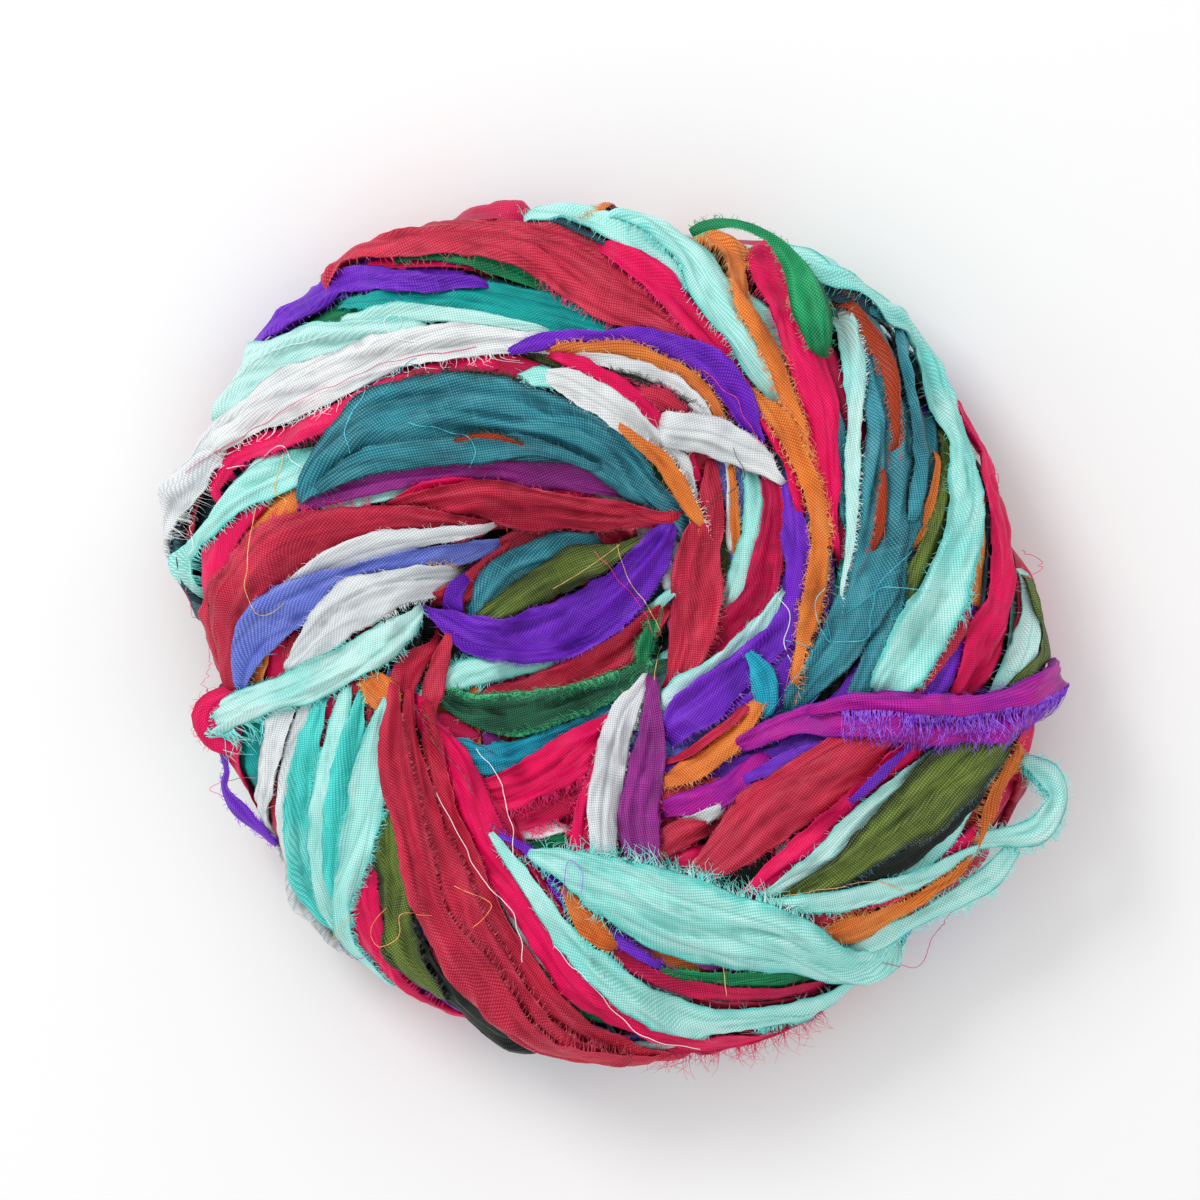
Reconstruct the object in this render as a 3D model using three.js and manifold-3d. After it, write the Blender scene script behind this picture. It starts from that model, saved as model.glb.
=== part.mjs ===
// Skein of sari silk ribbon, twisted, coiled into a flat swirl and resting on a surface.
// Sizes are millimetres and +Z is up. The skein stands on Z = 0, with its box centred on X = Y = 0.
import * as THREE from "three";
import { mergeVertices } from "three/addons/utils/BufferGeometryUtils.js";
import Module from "manifold-3d";

const wasm = await Module();
wasm.setup();

// Driving dimensions
const SKEIN_RADIUS = 93; // mean radius of the coil before its twists are raised
const BAND_THICKNESS = 1.4; // ribbon of the crossing bands, with its folds
const BAND_CLEARANCE = 0.35; // kept between a band and the coil below it
const BAND_SINK = 0.6; // a band is drawn this far into that gap, and then cut clear of the coil
const BAND_SPAN_LIFT = 2.6; // a taut band spans the grooves at least this high over the plain coil
const LOOP_THICKNESS = 2.4; // slack ribbon that bows out of the coil
const WINDING_PITCH = 12; // from one turn of ribbon to the next, down the coil's side
const WINDING_RISE = 3.8;
const WINDING_DIVE = 12; // turns that go down over the side in one trip round the coil
const BASE_FADE = 6; // the turns flatten over this height where the coil rests
const FLAT_RADIUS_SHARE = 0.66; // of the outline, the underside that lies flat
const TWIST_ROUNDNESS = 0.7; // power of a twist's rounded section
const BUNDLE_ROUNDNESS = 1.3;
const PLAIN_SHARE = 0.5; // of the winding's rise, kept on top where no twist lies
const PLAIN_FROM = [30, 60]; // distances from the middle between which that share sets in

// Mesh steps
const BEARINGS = 94;
const SKIN_RINGS = 46;
const BAND_STATIONS = 26;
const BAND_LANES = 6;
const LOOP_STATIONS = 22;
const LOOP_LANES = 2;
const CURVE_POINTS = 24;

// Radius of the coil seen from above, every 15 degrees anticlockwise from +X
const OUTLINE = [
  95, 91, 89, 91.5, 91.5, 90.5, 93, 96, 100, 99.5, 99.5, 99,
  88, 86, 88, 89.5, 89, 91.5, 93, 95, 94.5, 93, 96.5, 96,
];

// Section of the coil from the middle of its top, over the crown and down to the resting edge
const SECTION = [
  { reach: 0, height: 27 },
  { reach: 10, height: 27.5 },
  { reach: 24, height: 31 },
  { reach: 40, height: 37 },
  { reach: 54, height: 40 },
  { reach: 67, height: 39 },
  { reach: 79, height: 34 },
  { reach: 88, height: 26.5 },
  { reach: 92.5, height: 18 },
  { reach: 91, height: 9.5 },
  { reach: 84, height: 3 },
  { reach: 74, height: 0.6 },
  { reach: FLAT_RADIUS_SHARE * SKEIN_RADIUS, height: 0 },
];

// Bundles of turns that lift the coil as they cross it, under the twists. Each runs over three points.
const BUNDLES = [
  { from: [-88, 8], over: [-38, 44], to: [22, 24], width: 46, rise: 4.5 },
  { from: [10, 84], over: [66, 44], to: [48, -18], width: 44, rise: 4 },
  { from: [90, -22], over: [54, -46], to: [8, -52], width: 40, rise: 4 },
  { from: [-50, -8], over: [-36, -66], to: [44, -82], width: 36, rise: 4 },
  { from: [-64, -58], over: [-66, -22], to: [-38, 12], width: 30, rise: 3 },
];

// Main twists seen from above: each runs from one point over a second to a third
const TWISTS = [
  { from: [-62, 80], over: [-11, 82], to: [28, 56], width: 13.5, rise: 4 },
  { from: [-75, 66], over: [-38, 75], to: [4, 64], width: 10, rise: 3 },
  { from: [-98, 25], over: [-69, 52], to: [-11, 64], width: 11, rise: 3.2 },
  { from: [-91, 16], over: [-75, 34], to: [-55, 44], width: 9, rise: 3 },
  { from: [-62, 34], over: [-20, 47], to: [16, 23], width: 17, rise: 5 },
  { from: [-83, -12], over: [-71, 19], to: [-29, 25], width: 11, rise: 4 },
  { from: [-47, 29], over: [-16, 27], to: [12, 26], width: 9, rise: 3.4 },
  { from: [-80, -11], over: [-62, 10], to: [-26, 20], width: 12, rise: 3.6 },
  { from: [-68, -5], over: [-51, 8], to: [-31, 13], width: 9, rise: 3.6 },
  { from: [0, 93], over: [24, 74], to: [41, 41], width: 10.5, rise: 4.4 },
  { from: [20, 87], over: [32, 66], to: [38, 53], width: 5, rise: 2.4 },
  { from: [34, 79], over: [44, 52], to: [48, 19], width: 8.5, rise: 3.5 },
  { from: [51, 69], over: [58, 34], to: [39, -15], width: 11, rise: 4.2 },
  { from: [64, 56], over: [64, 25], to: [55, -12], width: 10, rise: 3 },
  { from: [48, 79], over: [75, 43], to: [59, -12], width: 8.5, rise: 4 },
  { from: [77, 48], over: [86, 16], to: [75, -14], width: 12, rise: 4 },
  { from: [-20, 62], over: [4, 52], to: [19, 25], width: 12, rise: 3.2 },
  { from: [23, 36], over: [19, 12], to: [14, -10], width: 10.5, rise: 3.6 },
  { from: [34, 36], over: [34, 12], to: [13, -12], width: 7, rise: 3.2 },
  { from: [38, 34], over: [40, 8], to: [13, -22], width: 8, rise: 3.2 },
  { from: [29, 53], over: [45, 21], to: [40, -8], width: 5, rise: 3 },
  { from: [-40, 5], over: [-11, 2], to: [12, 24], width: 12, rise: 4.6 },
  { from: [-29, 5], over: [-11, 14], to: [7, 22], width: 8, rise: 3 },
  { from: [-35, -13], over: [-11, -17], to: [11, -7], width: 8.5, rise: 3 },
  { from: [-38, -22], over: [-16, -29], to: [0, -20], width: 10, rise: 2.6 },
  { from: [6, -10], over: [-1, -30], to: [-1, -47], width: 7, rise: 3.4 },
  { from: [9, -10], over: [7, -30], to: [8, -50], width: 7, rise: 3.4 },
  { from: [11, -36], over: [22, -31], to: [31, -17], width: 6.5, rise: 3 },
  { from: [18, -51], over: [39, -35], to: [59, -22], width: 13, rise: 4.4 },
  { from: [33, -55], over: [52, -39], to: [69, -25], width: 9, rise: 3.4 },
  { from: [38, -56], over: [63, -41], to: [84, -25], width: 11, rise: 3.8 },
  { from: [-17, -48], over: [15, -62], to: [61, -68], width: 16, rise: 5 },
  { from: [-26, -42], over: [-3, -68], to: [59, -73], width: 7.5, rise: 3 },
  { from: [-40, -15], over: [-18, -58], to: [41, -86], width: 10, rise: 3.8 },
  { from: [-46, -12], over: [-35, -65], to: [17, -93], width: 11, rise: 4.4 },
  { from: [-49, -36], over: [-43, -65], to: [-19, -90], width: 7.5, rise: 3.2 },
  { from: [-51, -43], over: [-52, -67], to: [-11, -94], width: 8, rise: 3 },
  { from: [-53, -12], over: [-61, -36], to: [-58, -67], width: 9, rise: 3.6 },
  { from: [-69, -15], over: [-74, -36], to: [-59, -69], width: 7.5, rise: 3.2 },
];

// Hollows where one bundle of turns dives under the next
const HOLLOWS = [
  { x: -43, y: -3, radius: 9, depth: 4.5 },
  { x: -11, y: -41, radius: 10, depth: 7 },
  { x: 7, y: -44, radius: 7, depth: 4 },
  { x: 8, y: -2, radius: 8, depth: 4 },
  { x: 50, y: 4, radius: 8, depth: 3.5 },
  { x: -38, y: 42, radius: 7, depth: 2.5 },
];

// Bands of ribbon that cross the turns. past is the length of skin beyond the coil's widest line.
const BANDS = [
  {
    name: "magenta_band",
    colour: 0xb01f96,
    roughness: 0.45,
    rows: [
      { x: 33, y: -20, past: 0, width: 5 },
      { x: 42, y: -18, past: 0, width: 9 },
      { x: 55, y: -17, past: 0, width: 11 },
      { x: 70, y: -17.5, past: 0, width: 11 },
      { x: 82, y: -16.5, past: 0, width: 10.5 },
      { x: 90, y: -15, past: 0, width: 11 },
      { x: 93, y: -13, past: 3, width: 11.5 },
      { x: 93, y: -12, past: 10, width: 8 },
    ],
  },
  {
    name: "mint_band",
    colour: 0x96e6d7,
    roughness: 0.5,
    rows: [
      { x: -43, y: 5, past: 0, width: 5 },
      { x: -52, y: -3, past: 0, width: 8 },
      { x: -62, y: -9, past: 0, width: 8.5 },
      { x: -73, y: -13, past: 0, width: 8 },
      { x: -82, y: -16, past: 0, width: 7.5 },
      { x: -85, y: -18, past: 3, width: 6 },
    ],
  },
  {
    name: "white_band",
    colour: 0xe2e8e6,
    roughness: 0.5,
    rows: [
      { x: 14, y: 45, past: 0, width: 5 },
      { x: 22, y: 43.5, past: 0, width: 9 },
      { x: 30, y: 41, past: 0, width: 8 },
      { x: 38, y: 35, past: 0, width: 4 },
    ],
  },
];

// Slack ribbon that bows out of the coil's edge, each from the coil and back into it
const LOOPS = [
  {
    rows: [
      { x: 76, y: -47, z: 26, width: 4 },
      { x: 86, y: -44.5, z: 25, width: 5.5 },
      { x: 94, y: -43.5, z: 23, width: 7 },
      { x: 98.5, y: -38.5, z: 22, width: 7 },
      { x: 98, y: -32.5, z: 21, width: 6 },
      { x: 90, y: -27, z: 21, width: 4 },
    ],
  },
  {
    rows: [
      { x: 48, y: -71, z: 25, width: 4 },
      { x: 62, y: -67, z: 25, width: 6 },
      { x: 78, y: -59.5, z: 24, width: 6 },
      { x: 87, y: -52, z: 24, width: 6 },
      { x: 86, y: -42, z: 24, width: 5 },
    ],
  },
  {
    rows: [
      { x: 16, y: 83, z: 31, width: 3 },
      { x: 21, y: 90.5, z: 32, width: 3 },
      { x: 29, y: 92.5, z: 33, width: 3.5 },
      { x: 37, y: 87.5, z: 35, width: 4 },
      { x: 41, y: 78, z: 38, width: 5 },
      { x: 44, y: 68, z: 40, width: 6 },
    ],
  },
  {
    rows: [
      { x: -79, y: -11, z: 25, width: 4 },
      { x: -88, y: -14, z: 23, width: 5 },
      { x: -91.5, y: -19, z: 22, width: 5 },
      { x: -86, y: -25, z: 21, width: 4 },
      { x: -77, y: -26, z: 22, width: 4 },
    ],
  },
  {
    rows: [
      { x: -77, y: -23, z: 18, width: 3 },
      { x: -85.5, y: -28, z: 18, width: 3 },
      { x: -85, y: -36, z: 18, width: 4 },
      { x: -77, y: -44, z: 18, width: 4 },
    ],
  },
  {
    rows: [
      { x: -88, y: 36, z: 17, width: 4 },
      { x: -97, y: 27, z: 16, width: 4 },
      { x: -98, y: 18, z: 15, width: 4 },
      { x: -93, y: 8, z: 15, width: 4 },
      { x: -83, y: 3, z: 16, width: 4 },
    ],
  },
];

const section = new THREE.SplineCurve(SECTION.map((row) => new THREE.Vector2(row.reach, row.height)));
const sectionLength = section.getLength();
const RIM_RUN = findRimRun();
const UP = new THREE.Vector3(0, 0, 1);

// Share of the section's length at its widest point
function findRimRun() {
  let widest = 0;
  for (let step = 1; step <= 400; step++) {
    const run = step / 400;
    if (section.getPointAt(run).x > section.getPointAt(widest).x) widest = run;
  }
  return widest;
}

function outlineRadius(bearing) {
  const count = OUTLINE.length;
  const place = THREE.MathUtils.euclideanModulo(bearing / (2 * Math.PI), 1) * count;
  const index = Math.floor(place);
  const t = place - index;
  const [a, b, c, d] = [-1, 0, 1, 2].map((step) => OUTLINE[(index + step + count) % count]);
  return b + 0.5 * t * (c - a + t * (2 * a - 5 * b + 4 * c - d + t * (3 * (b - c) + d - a)));
}

// Points of the curve through a row's three points
function coursePoints(row) {
  const [start, middle, end] = [row.from, row.over, row.to].map(([x, y]) => new THREE.Vector2(x, y));
  const control = middle.clone().multiplyScalar(2).sub(start.clone().add(end).multiplyScalar(0.5));
  return new THREE.QuadraticBezierCurve(start, control, end).getPoints(CURVE_POINTS);
}

const twists = TWISTS.map((twist) => ({ ...twist, points: coursePoints(twist) }));
const bundles = BUNDLES.map((bundle) => ({ ...bundle, points: coursePoints(bundle) }));

// Rise of one twist or bundle over a point seen from above: round across, tapered at both ends
function riseOfCourse(course, x, y, roundness) {
  let best = 0;
  for (let i = 0; i < CURVE_POINTS; i++) {
    const a = course.points[i];
    const b = course.points[i + 1];
    const ab = [b.x - a.x, b.y - a.y];
    const along = ((x - a.x) * ab[0] + (y - a.y) * ab[1]) / (ab[0] ** 2 + ab[1] ** 2);
    const share = THREE.MathUtils.clamp(along, 0, 1);
    const distance = Math.hypot(x - a.x - share * ab[0], y - a.y - share * ab[1]);
    const taper = Math.sin(Math.PI * THREE.MathUtils.clamp((i + share) / CURVE_POINTS, 0.04, 0.96)) ** 0.4;
    const across = distance / (0.5 * course.width * taper);
    if (across < 1) best = Math.max(best, course.rise * taper * (1 - across ** 2) ** roundness);
  }
  return best;
}

function highestRise(courses, x, y, roundness) {
  return Math.max(...courses.map((course) => riseOfCourse(course, x, y, roundness)));
}

function depthOfHollows(x, y) {
  return HOLLOWS.reduce((sum, h) => {
    const away = Math.hypot(x - h.x, y - h.y) / h.radius;
    return sum + h.depth * Math.exp(-(away ** 2) * 1.5);
  }, 0);
}

// Raised height of the turns at a bearing and a share of the section's length
function turnRise(bearing, run, x, y, upward, height) {
  const turns = (run * sectionLength) / WINDING_PITCH - (WINDING_DIVE * bearing) / (2 * Math.PI);
  const winding = WINDING_RISE * Math.abs(Math.sin(Math.PI * turns)) ** 0.8;
  const plain = PLAIN_SHARE * winding * THREE.MathUtils.smoothstep(Math.hypot(x, y), ...PLAIN_FROM);
  const twisted = Math.max(plain, highestRise(twists, x, y, TWIST_ROUNDNESS));
  const bundled = highestRise(bundles, x, y, BUNDLE_ROUNDNESS);
  const top = THREE.MathUtils.smoothstep(upward, 0.1, 0.6);
  const rise = top * (twisted + bundled - depthOfHollows(x, y)) + (1 - top) * winding;
  return rise * THREE.MathUtils.smoothstep(height, 0, BASE_FADE);
}

// Point of the coil's surface. lift(rise) gives the height along the normal from the raised turns' own.
function skin(bearing, run, lift) {
  const at = THREE.MathUtils.clamp(run, 0, 1);
  const flat = section.getPointAt(at);
  const along = section.getTangentAt(at);
  const widen = outlineRadius(bearing) / SKEIN_RADIUS;
  const normal = new THREE.Vector2(-along.y, along.x * widen).normalize();
  const radius = flat.x * widen;
  const [cos, sin] = [Math.cos(bearing), Math.sin(bearing)];
  const rise = turnRise(bearing, at, radius * cos, radius * sin, normal.y, flat.y);
  const height = lift(rise);
  const reach = radius + normal.x * height;
  return new THREE.Vector3(reach * cos, reach * sin, flat.y + normal.y * height);
}

// Closed geometry from points and the triangles that join them
function closedGeometry(points, triangles) {
  const geometry = new THREE.BufferGeometry();
  const coordinates = points.flatMap((point) => point.toArray());
  geometry.setAttribute("position", new THREE.Float32BufferAttribute(coordinates, 3));
  geometry.setIndex(triangles);
  return mergeVertices(geometry, 1e-5);
}

function toSolid(geometry) {
  return new wasm.Manifold(
    new wasm.Mesh({
      numProp: 3,
      vertProperties: Float32Array.from(geometry.attributes.position.array),
      triVerts: Uint32Array.from(geometry.index.array),
    }),
  );
}

function toGeometry(solid) {
  const mesh = solid.getMesh();
  const geometry = new THREE.BufferGeometry();
  geometry.setAttribute("position", new THREE.BufferAttribute(mesh.vertProperties, 3));
  geometry.setIndex(new THREE.BufferAttribute(mesh.triVerts, 1));
  geometry.computeVertexNormals();
  return geometry;
}

// The coil with its turns raised, and extra more all over; the underside is a flat disc
function coilGeometry(extra) {
  const points = [skin(0, 0, (rise) => rise + extra)];
  for (let ring = 1; ring <= SKIN_RINGS; ring++) {
    for (let j = 0; j < BEARINGS; j++) {
      points.push(skin((2 * Math.PI * j) / BEARINGS, ring / SKIN_RINGS, (rise) => rise + extra));
    }
  }
  points.push(new THREE.Vector3(0, 0, -extra));
  const triangles = [];
  const last = points.length - 1;
  const at = (ring, j) => 1 + (ring - 1) * BEARINGS + (j % BEARINGS);
  for (let j = 0; j < BEARINGS; j++) {
    triangles.push(0, at(1, j), at(1, j + 1));
    for (let ring = 1; ring < SKIN_RINGS; ring++) {
      triangles.push(at(ring, j), at(ring + 1, j), at(ring + 1, j + 1));
      triangles.push(at(ring, j), at(ring + 1, j + 1), at(ring, j + 1));
    }
    triangles.push(at(SKIN_RINGS, j), last, at(SKIN_RINGS, j + 1));
  }
  return closedGeometry(points, triangles);
}

// One sheet between an upper and a lower grid of points, each a list of stations across the ribbon
function sheetGeometry(upper, lower) {
  const lanes = upper[0].length;
  const points = [...upper.flat(), ...lower.flat()];
  const top = (i, k) => i * lanes + k;
  const bottom = (i, k) => upper.length * lanes + i * lanes + k;
  const triangles = [];
  const quad = (a, b, c, d) => triangles.push(a, b, c, a, c, d);
  for (let i = 0; i < upper.length - 1; i++) {
    for (let k = 0; k < lanes - 1; k++) {
      quad(top(i, k), top(i, k + 1), top(i + 1, k + 1), top(i + 1, k));
      quad(bottom(i, k), bottom(i + 1, k), bottom(i + 1, k + 1), bottom(i, k + 1));
    }
    quad(top(i, 0), top(i + 1, 0), bottom(i + 1, 0), bottom(i, 0));
    quad(top(i, lanes - 1), bottom(i, lanes - 1), bottom(i + 1, lanes - 1), top(i + 1, lanes - 1));
  }
  const end = upper.length - 1;
  for (let k = 0; k < lanes - 1; k++) {
    quad(top(0, k), bottom(0, k), bottom(0, k + 1), top(0, k + 1));
    quad(top(end, k), top(end, k + 1), bottom(end, k + 1), bottom(end, k));
  }
  return closedGeometry(points, triangles);
}

// Share of the section's length that lies over a distance from the middle, on the upper side
function runAtReach(reach, bearing) {
  const wanted = (reach * SKEIN_RADIUS) / outlineRadius(bearing);
  let [low, high] = [0, RIM_RUN];
  for (let step = 0; step < 30; step++) {
    const middle = 0.5 * (low + high);
    if (section.getPointAt(middle).x < wanted) low = middle;
    else high = middle;
  }
  return low;
}

// Place of a band's row on the skin: its bearing, share of the section's length, and width
function bandPlace(row) {
  const turned = THREE.MathUtils.euclideanModulo(Math.atan2(row.y, row.x), 2 * Math.PI);
  const bearing = turned > 1.5 * Math.PI ? turned - 2 * Math.PI : turned;
  const onTop = runAtReach(Math.hypot(row.x, row.y), bearing);
  const run = row.past > 0 ? RIM_RUN + row.past / sectionLength : onTop;
  return new THREE.Vector3(bearing, run, row.width);
}

// A band laid over the turns, cut clear of them below
function bandSolid(rows, clearCoil) {
  const course = new THREE.CatmullRomCurve3(rows.map(bandPlace));
  const topLift = (rise) => Math.max(rise, BAND_SPAN_LIFT) + BAND_CLEARANCE + BAND_THICKNESS;
  const bottomLift = (rise) => Math.max(rise, BAND_SPAN_LIFT) + BAND_CLEARANCE - BAND_SINK;
  const [upper, lower] = [[], []];
  for (let i = 0; i <= BAND_STATIONS; i++) {
    const here = course.getPoint(i / BAND_STATIONS);
    const slope = course.getTangent(i / BAND_STATIONS);
    const onSkin = skin(here.x, here.y, (rise) => rise);
    const radius = Math.hypot(onSkin.x, onSkin.y);
    const ahead = new THREE.Vector2(slope.x * radius, slope.y * sectionLength).normalize();
    const lane = (k, lift) => {
      const side = here.z * (k / BAND_LANES - 0.5);
      return skin(here.x - (ahead.y * side) / radius, here.y + (ahead.x * side) / sectionLength, lift);
    };
    const lanes = Array.from({ length: BAND_LANES + 1 }, (_, k) => k);
    upper.push(lanes.map((k) => lane(k, topLift)));
    lower.push(lanes.map((k) => lane(k, bottomLift)));
  }
  const raw = toSolid(sheetGeometry(upper, lower));
  const pieces = raw.subtract(clearCoil).decompose();
  return pieces.reduce((largest, piece) => (piece.volume() > largest.volume() ? piece : largest));
}

// A slack loop: a strip whose width lies level, swept along its course
function loopSolid(rows) {
  const course = new THREE.CatmullRomCurve3(rows.map((row) => new THREE.Vector3(row.x, row.y, row.z)));
  const widths = new THREE.SplineCurve(rows.map((row, i) => new THREE.Vector2(i, row.width)));
  const [upper, lower] = [[], []];
  for (let i = 0; i <= LOOP_STATIONS; i++) {
    const t = i / LOOP_STATIONS;
    const centre = course.getPoint(t);
    const side = course.getTangent(t).cross(UP).normalize().multiplyScalar(widths.getPoint(t).y);
    const lane = (k, height) =>
      centre.clone().addScaledVector(side, k / LOOP_LANES - 0.5).addScaledVector(UP, height);
    const lanes = Array.from({ length: LOOP_LANES + 1 }, (_, k) => k);
    upper.push(lanes.map((k) => lane(k, 0.5 * LOOP_THICKNESS)));
    lower.push(lanes.map((k) => lane(k, -0.5 * LOOP_THICKNESS)));
  }
  return toSolid(sheetGeometry(upper, lower));
}

function silk(colour, roughness) {
  return new THREE.MeshStandardMaterial({ color: colour, roughness, metalness: 0, flatShading: true });
}

function named(name, solid, material) {
  const mesh = new THREE.Mesh(toGeometry(solid), material);
  mesh.name = name;
  return mesh;
}

const loops = LOOPS.map((loop) => loopSolid(loop.rows));
const coil = loops.reduce((whole, loop) => whole.add(loop), toSolid(coilGeometry(0)));
const clearCoil = loops.reduce((whole, loop) => whole.add(loop), toSolid(coilGeometry(BAND_CLEARANCE)));

const skein = new THREE.Group();
skein.add(named("wound_skein", coil, silk(0xc43a5a, 0.5)));
for (const band of BANDS) {
  skein.add(named(band.name, bandSolid(band.rows, clearCoil), silk(band.colour, band.roughness)));
}
const centre = new THREE.Box3().setFromObject(skein).getCenter(new THREE.Vector3());
skein.position.set(-centre.x, -centre.y, 0);

export default skein;
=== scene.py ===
# %% [markdown]
# # A skein of sari silk ribbon
# The real thing is some 45 m of torn silk, twisted into a hank and coiled into a swirl that lies flat.
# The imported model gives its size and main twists. This script dresses it: every turn of ribbon that
# shows is a strip of cloth of its own, laid over the ones below it, with frayed edges and stray threads.

# %% Load the fixed frame
import math

import bpy
import numpy as np
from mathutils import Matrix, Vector
from mathutils.bvhtree import BVHTree


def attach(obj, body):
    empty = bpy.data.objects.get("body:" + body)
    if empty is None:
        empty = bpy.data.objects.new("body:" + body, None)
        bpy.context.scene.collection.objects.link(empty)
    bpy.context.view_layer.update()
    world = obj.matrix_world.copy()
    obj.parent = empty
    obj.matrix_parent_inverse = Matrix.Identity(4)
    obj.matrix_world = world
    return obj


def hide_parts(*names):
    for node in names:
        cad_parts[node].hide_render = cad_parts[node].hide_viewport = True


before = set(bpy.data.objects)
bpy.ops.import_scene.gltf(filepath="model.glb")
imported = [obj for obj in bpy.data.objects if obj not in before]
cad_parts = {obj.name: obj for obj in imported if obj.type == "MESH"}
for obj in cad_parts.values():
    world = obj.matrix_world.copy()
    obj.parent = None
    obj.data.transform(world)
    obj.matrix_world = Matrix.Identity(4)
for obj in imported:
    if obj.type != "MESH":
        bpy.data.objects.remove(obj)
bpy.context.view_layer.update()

MM = 0.001

# %% [markdown]
# ## The photograph's scale
# The camera looks straight down, so a place in the photograph is a place on the table. One scale and the
# swirl's middle turn pixels into millimetres, and every course below is written in the photograph's pixels.

# %% Photograph pixels to millimetres
PHOTO_SIZE = 1200
MM_PER_PIXEL = 0.22
MIDDLE_PIXEL = np.array([612.0, 635.0])
MIDDLE = np.array([-0.96, -0.11])  # the swirl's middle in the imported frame, in mm


def from_photo(pixels):
    """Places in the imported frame, in mm, from pixels of the photograph."""
    offset = (np.asarray(pixels, float) - MIDDLE_PIXEL) * MM_PER_PIXEL
    return offset * [1, -1] + MIDDLE


print("the photograph covers", PHOTO_SIZE * MM_PER_PIXEL, "mm")

# %% [markdown]
# ## The camera, light and table
# A long lens far above keeps the sides of the coil from showing, as in the photograph. The light is a
# white room with one large soft window to the upper left, so the shadow falls softly to the lower right.

# %% Camera straight above
CAMERA_HEIGHT = 1.1  # m
SENSOR = 36.0  # mm
GROUND_PLANE = 0.022  # m, the height at which the photograph's scale holds

camera_data = bpy.data.cameras.new("photo_camera")
camera_data.sensor_width = SENSOR
camera_data.lens = SENSOR * (CAMERA_HEIGHT - GROUND_PLANE) / (PHOTO_SIZE * MM_PER_PIXEL * MM)
camera = bpy.data.objects.new("photo_camera", camera_data)
bpy.context.scene.collection.objects.link(camera)
bpy.context.scene.camera = camera
image_middle = from_photo([PHOTO_SIZE / 2, PHOTO_SIZE / 2]) * MM
camera.location = (image_middle[0], image_middle[1], CAMERA_HEIGHT)
print("lens in mm:", round(camera_data.lens, 1))

# %% Soft studio light
WORLD_LIGHT = 0.84
WINDOW_POWER = 7.6  # W
WINDOW_SIZE = 0.5  # m
WINDOW_PLACE = (-0.75, 0.75, 0.95)

world = bpy.data.worlds.new("white_room")
bpy.context.scene.world = world
world.use_nodes = True
world.node_tree.nodes["Background"].inputs["Color"].default_value = (1, 1, 1, 1)
world.node_tree.nodes["Background"].inputs["Strength"].default_value = WORLD_LIGHT

window_data = bpy.data.lights.new("window", "AREA")
window_data.energy = WINDOW_POWER
window_data.size = WINDOW_SIZE
window = bpy.data.objects.new("window", window_data)
bpy.context.scene.collection.objects.link(window)
window.location = WINDOW_PLACE
window.rotation_euler = (Vector((0, 0, 0)) - Vector(WINDOW_PLACE)).to_track_quat("-Z", "Y").to_euler()
bpy.context.scene.view_settings.view_transform = "Standard"

# %% White table
TABLE_SIZE = 6.0  # m
TABLE_WHITE = (0.93, 0.93, 0.93, 1)
TABLE_ROUGHNESS = 0.8


def new_material(name):
    """A material, with one call that adds a node to it and one that fills in its shader."""
    material = bpy.data.materials.new(name)
    material.use_nodes = True
    tree = material.node_tree

    def fill(values, node=tree.nodes["Principled BSDF"]):
        """Gives a node's inputs numbers, colours or what other nodes give."""
        for label, value in values.items():
            if isinstance(value, bpy.types.NodeSocket):
                tree.links.new(value, node.inputs[label])
            else:
                node.inputs[label].default_value = value

    def add(kind, values, out, **settings):
        """What a new node gives, from its inputs and settings."""
        node = tree.nodes.new("ShaderNode" + kind)
        for label, setting in settings.items():
            setattr(node, label, setting)
        fill(values, node)
        return node.outputs[out]

    return material, add, fill


bpy.ops.object.select_all(action="DESELECT")
bpy.ops.mesh.primitive_plane_add(size=TABLE_SIZE, location=(0, 0, 0))
table = bpy.context.object
table.name = "table_top"
table_paint, _, fill_table = new_material("table_white")
fill_table({"Base Color": TABLE_WHITE, "Roughness": TABLE_ROUGHNESS})
table.data.materials.append(table_paint)

# %% [markdown]
# ## Unrolling the coil
# Ribbon lies along the coil's skin, over the crown and down the sides. To lay it there, the skin is
# unrolled to a flat disc: the distance from the disc's middle is the length measured over the skin, and
# the angle is the bearing. Each place on the disc has a point on the coil and a direction outwards.

# %% The coil's plain section and outline
PLAIN_RADIUS = 93.0  # mm
SECTION = np.array([  # reach from the middle, height; from the top's middle over the crown and underneath
    (0, 27), (10, 27.5), (24, 31), (40, 37), (54, 40), (67, 39), (79, 34), (88, 26.5), (92.5, 18),
    (91, 9.5), (84, 4.6), (74, 3.2), (61, 2.8), (40, 2.6), (20, 2.5), (4, 2.5),
], float)
OUTLINE_HEIGHT = 9.5  # mm, below the slack loops
OUTLINE_START = 0.2  # m from the middle, outside the coil
OUTLINE_SOFTENING = 3  # bearings
BEARINGS = 180
CLOTH_DEPTH = 3.0  # mm of ribbon that lies outside the unrolled skin


def spline(points, samples):
    """A smooth curve through the points, with samples points between each two."""
    points = np.asarray(points, float)
    ends = np.vstack([2 * points[0] - points[1], points, 2 * points[-1] - points[-2]])
    t = np.linspace(0, 1, samples, endpoint=False)[:, None]
    parts = []
    for a, b, c, d in zip(ends[:-3], ends[1:-2], ends[2:-1], ends[3:]):
        parts.append(b + 0.5 * t * (c - a + t * (2 * a - 5 * b + 4 * c - d + t * (3 * (b - c) + d - a))))
    return np.vstack(parts + [points[-1:]])


def lengths(points):
    """Length along a line of points, up to each of them."""
    return np.concatenate([[0], np.cumsum(np.linalg.norm(np.diff(points[:, :2], axis=0), axis=1))])


def unit(vectors):
    """The vectors at a length of 1."""
    return vectors / np.maximum(np.linalg.norm(vectors, axis=-1), 1e-6)[..., None]


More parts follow.
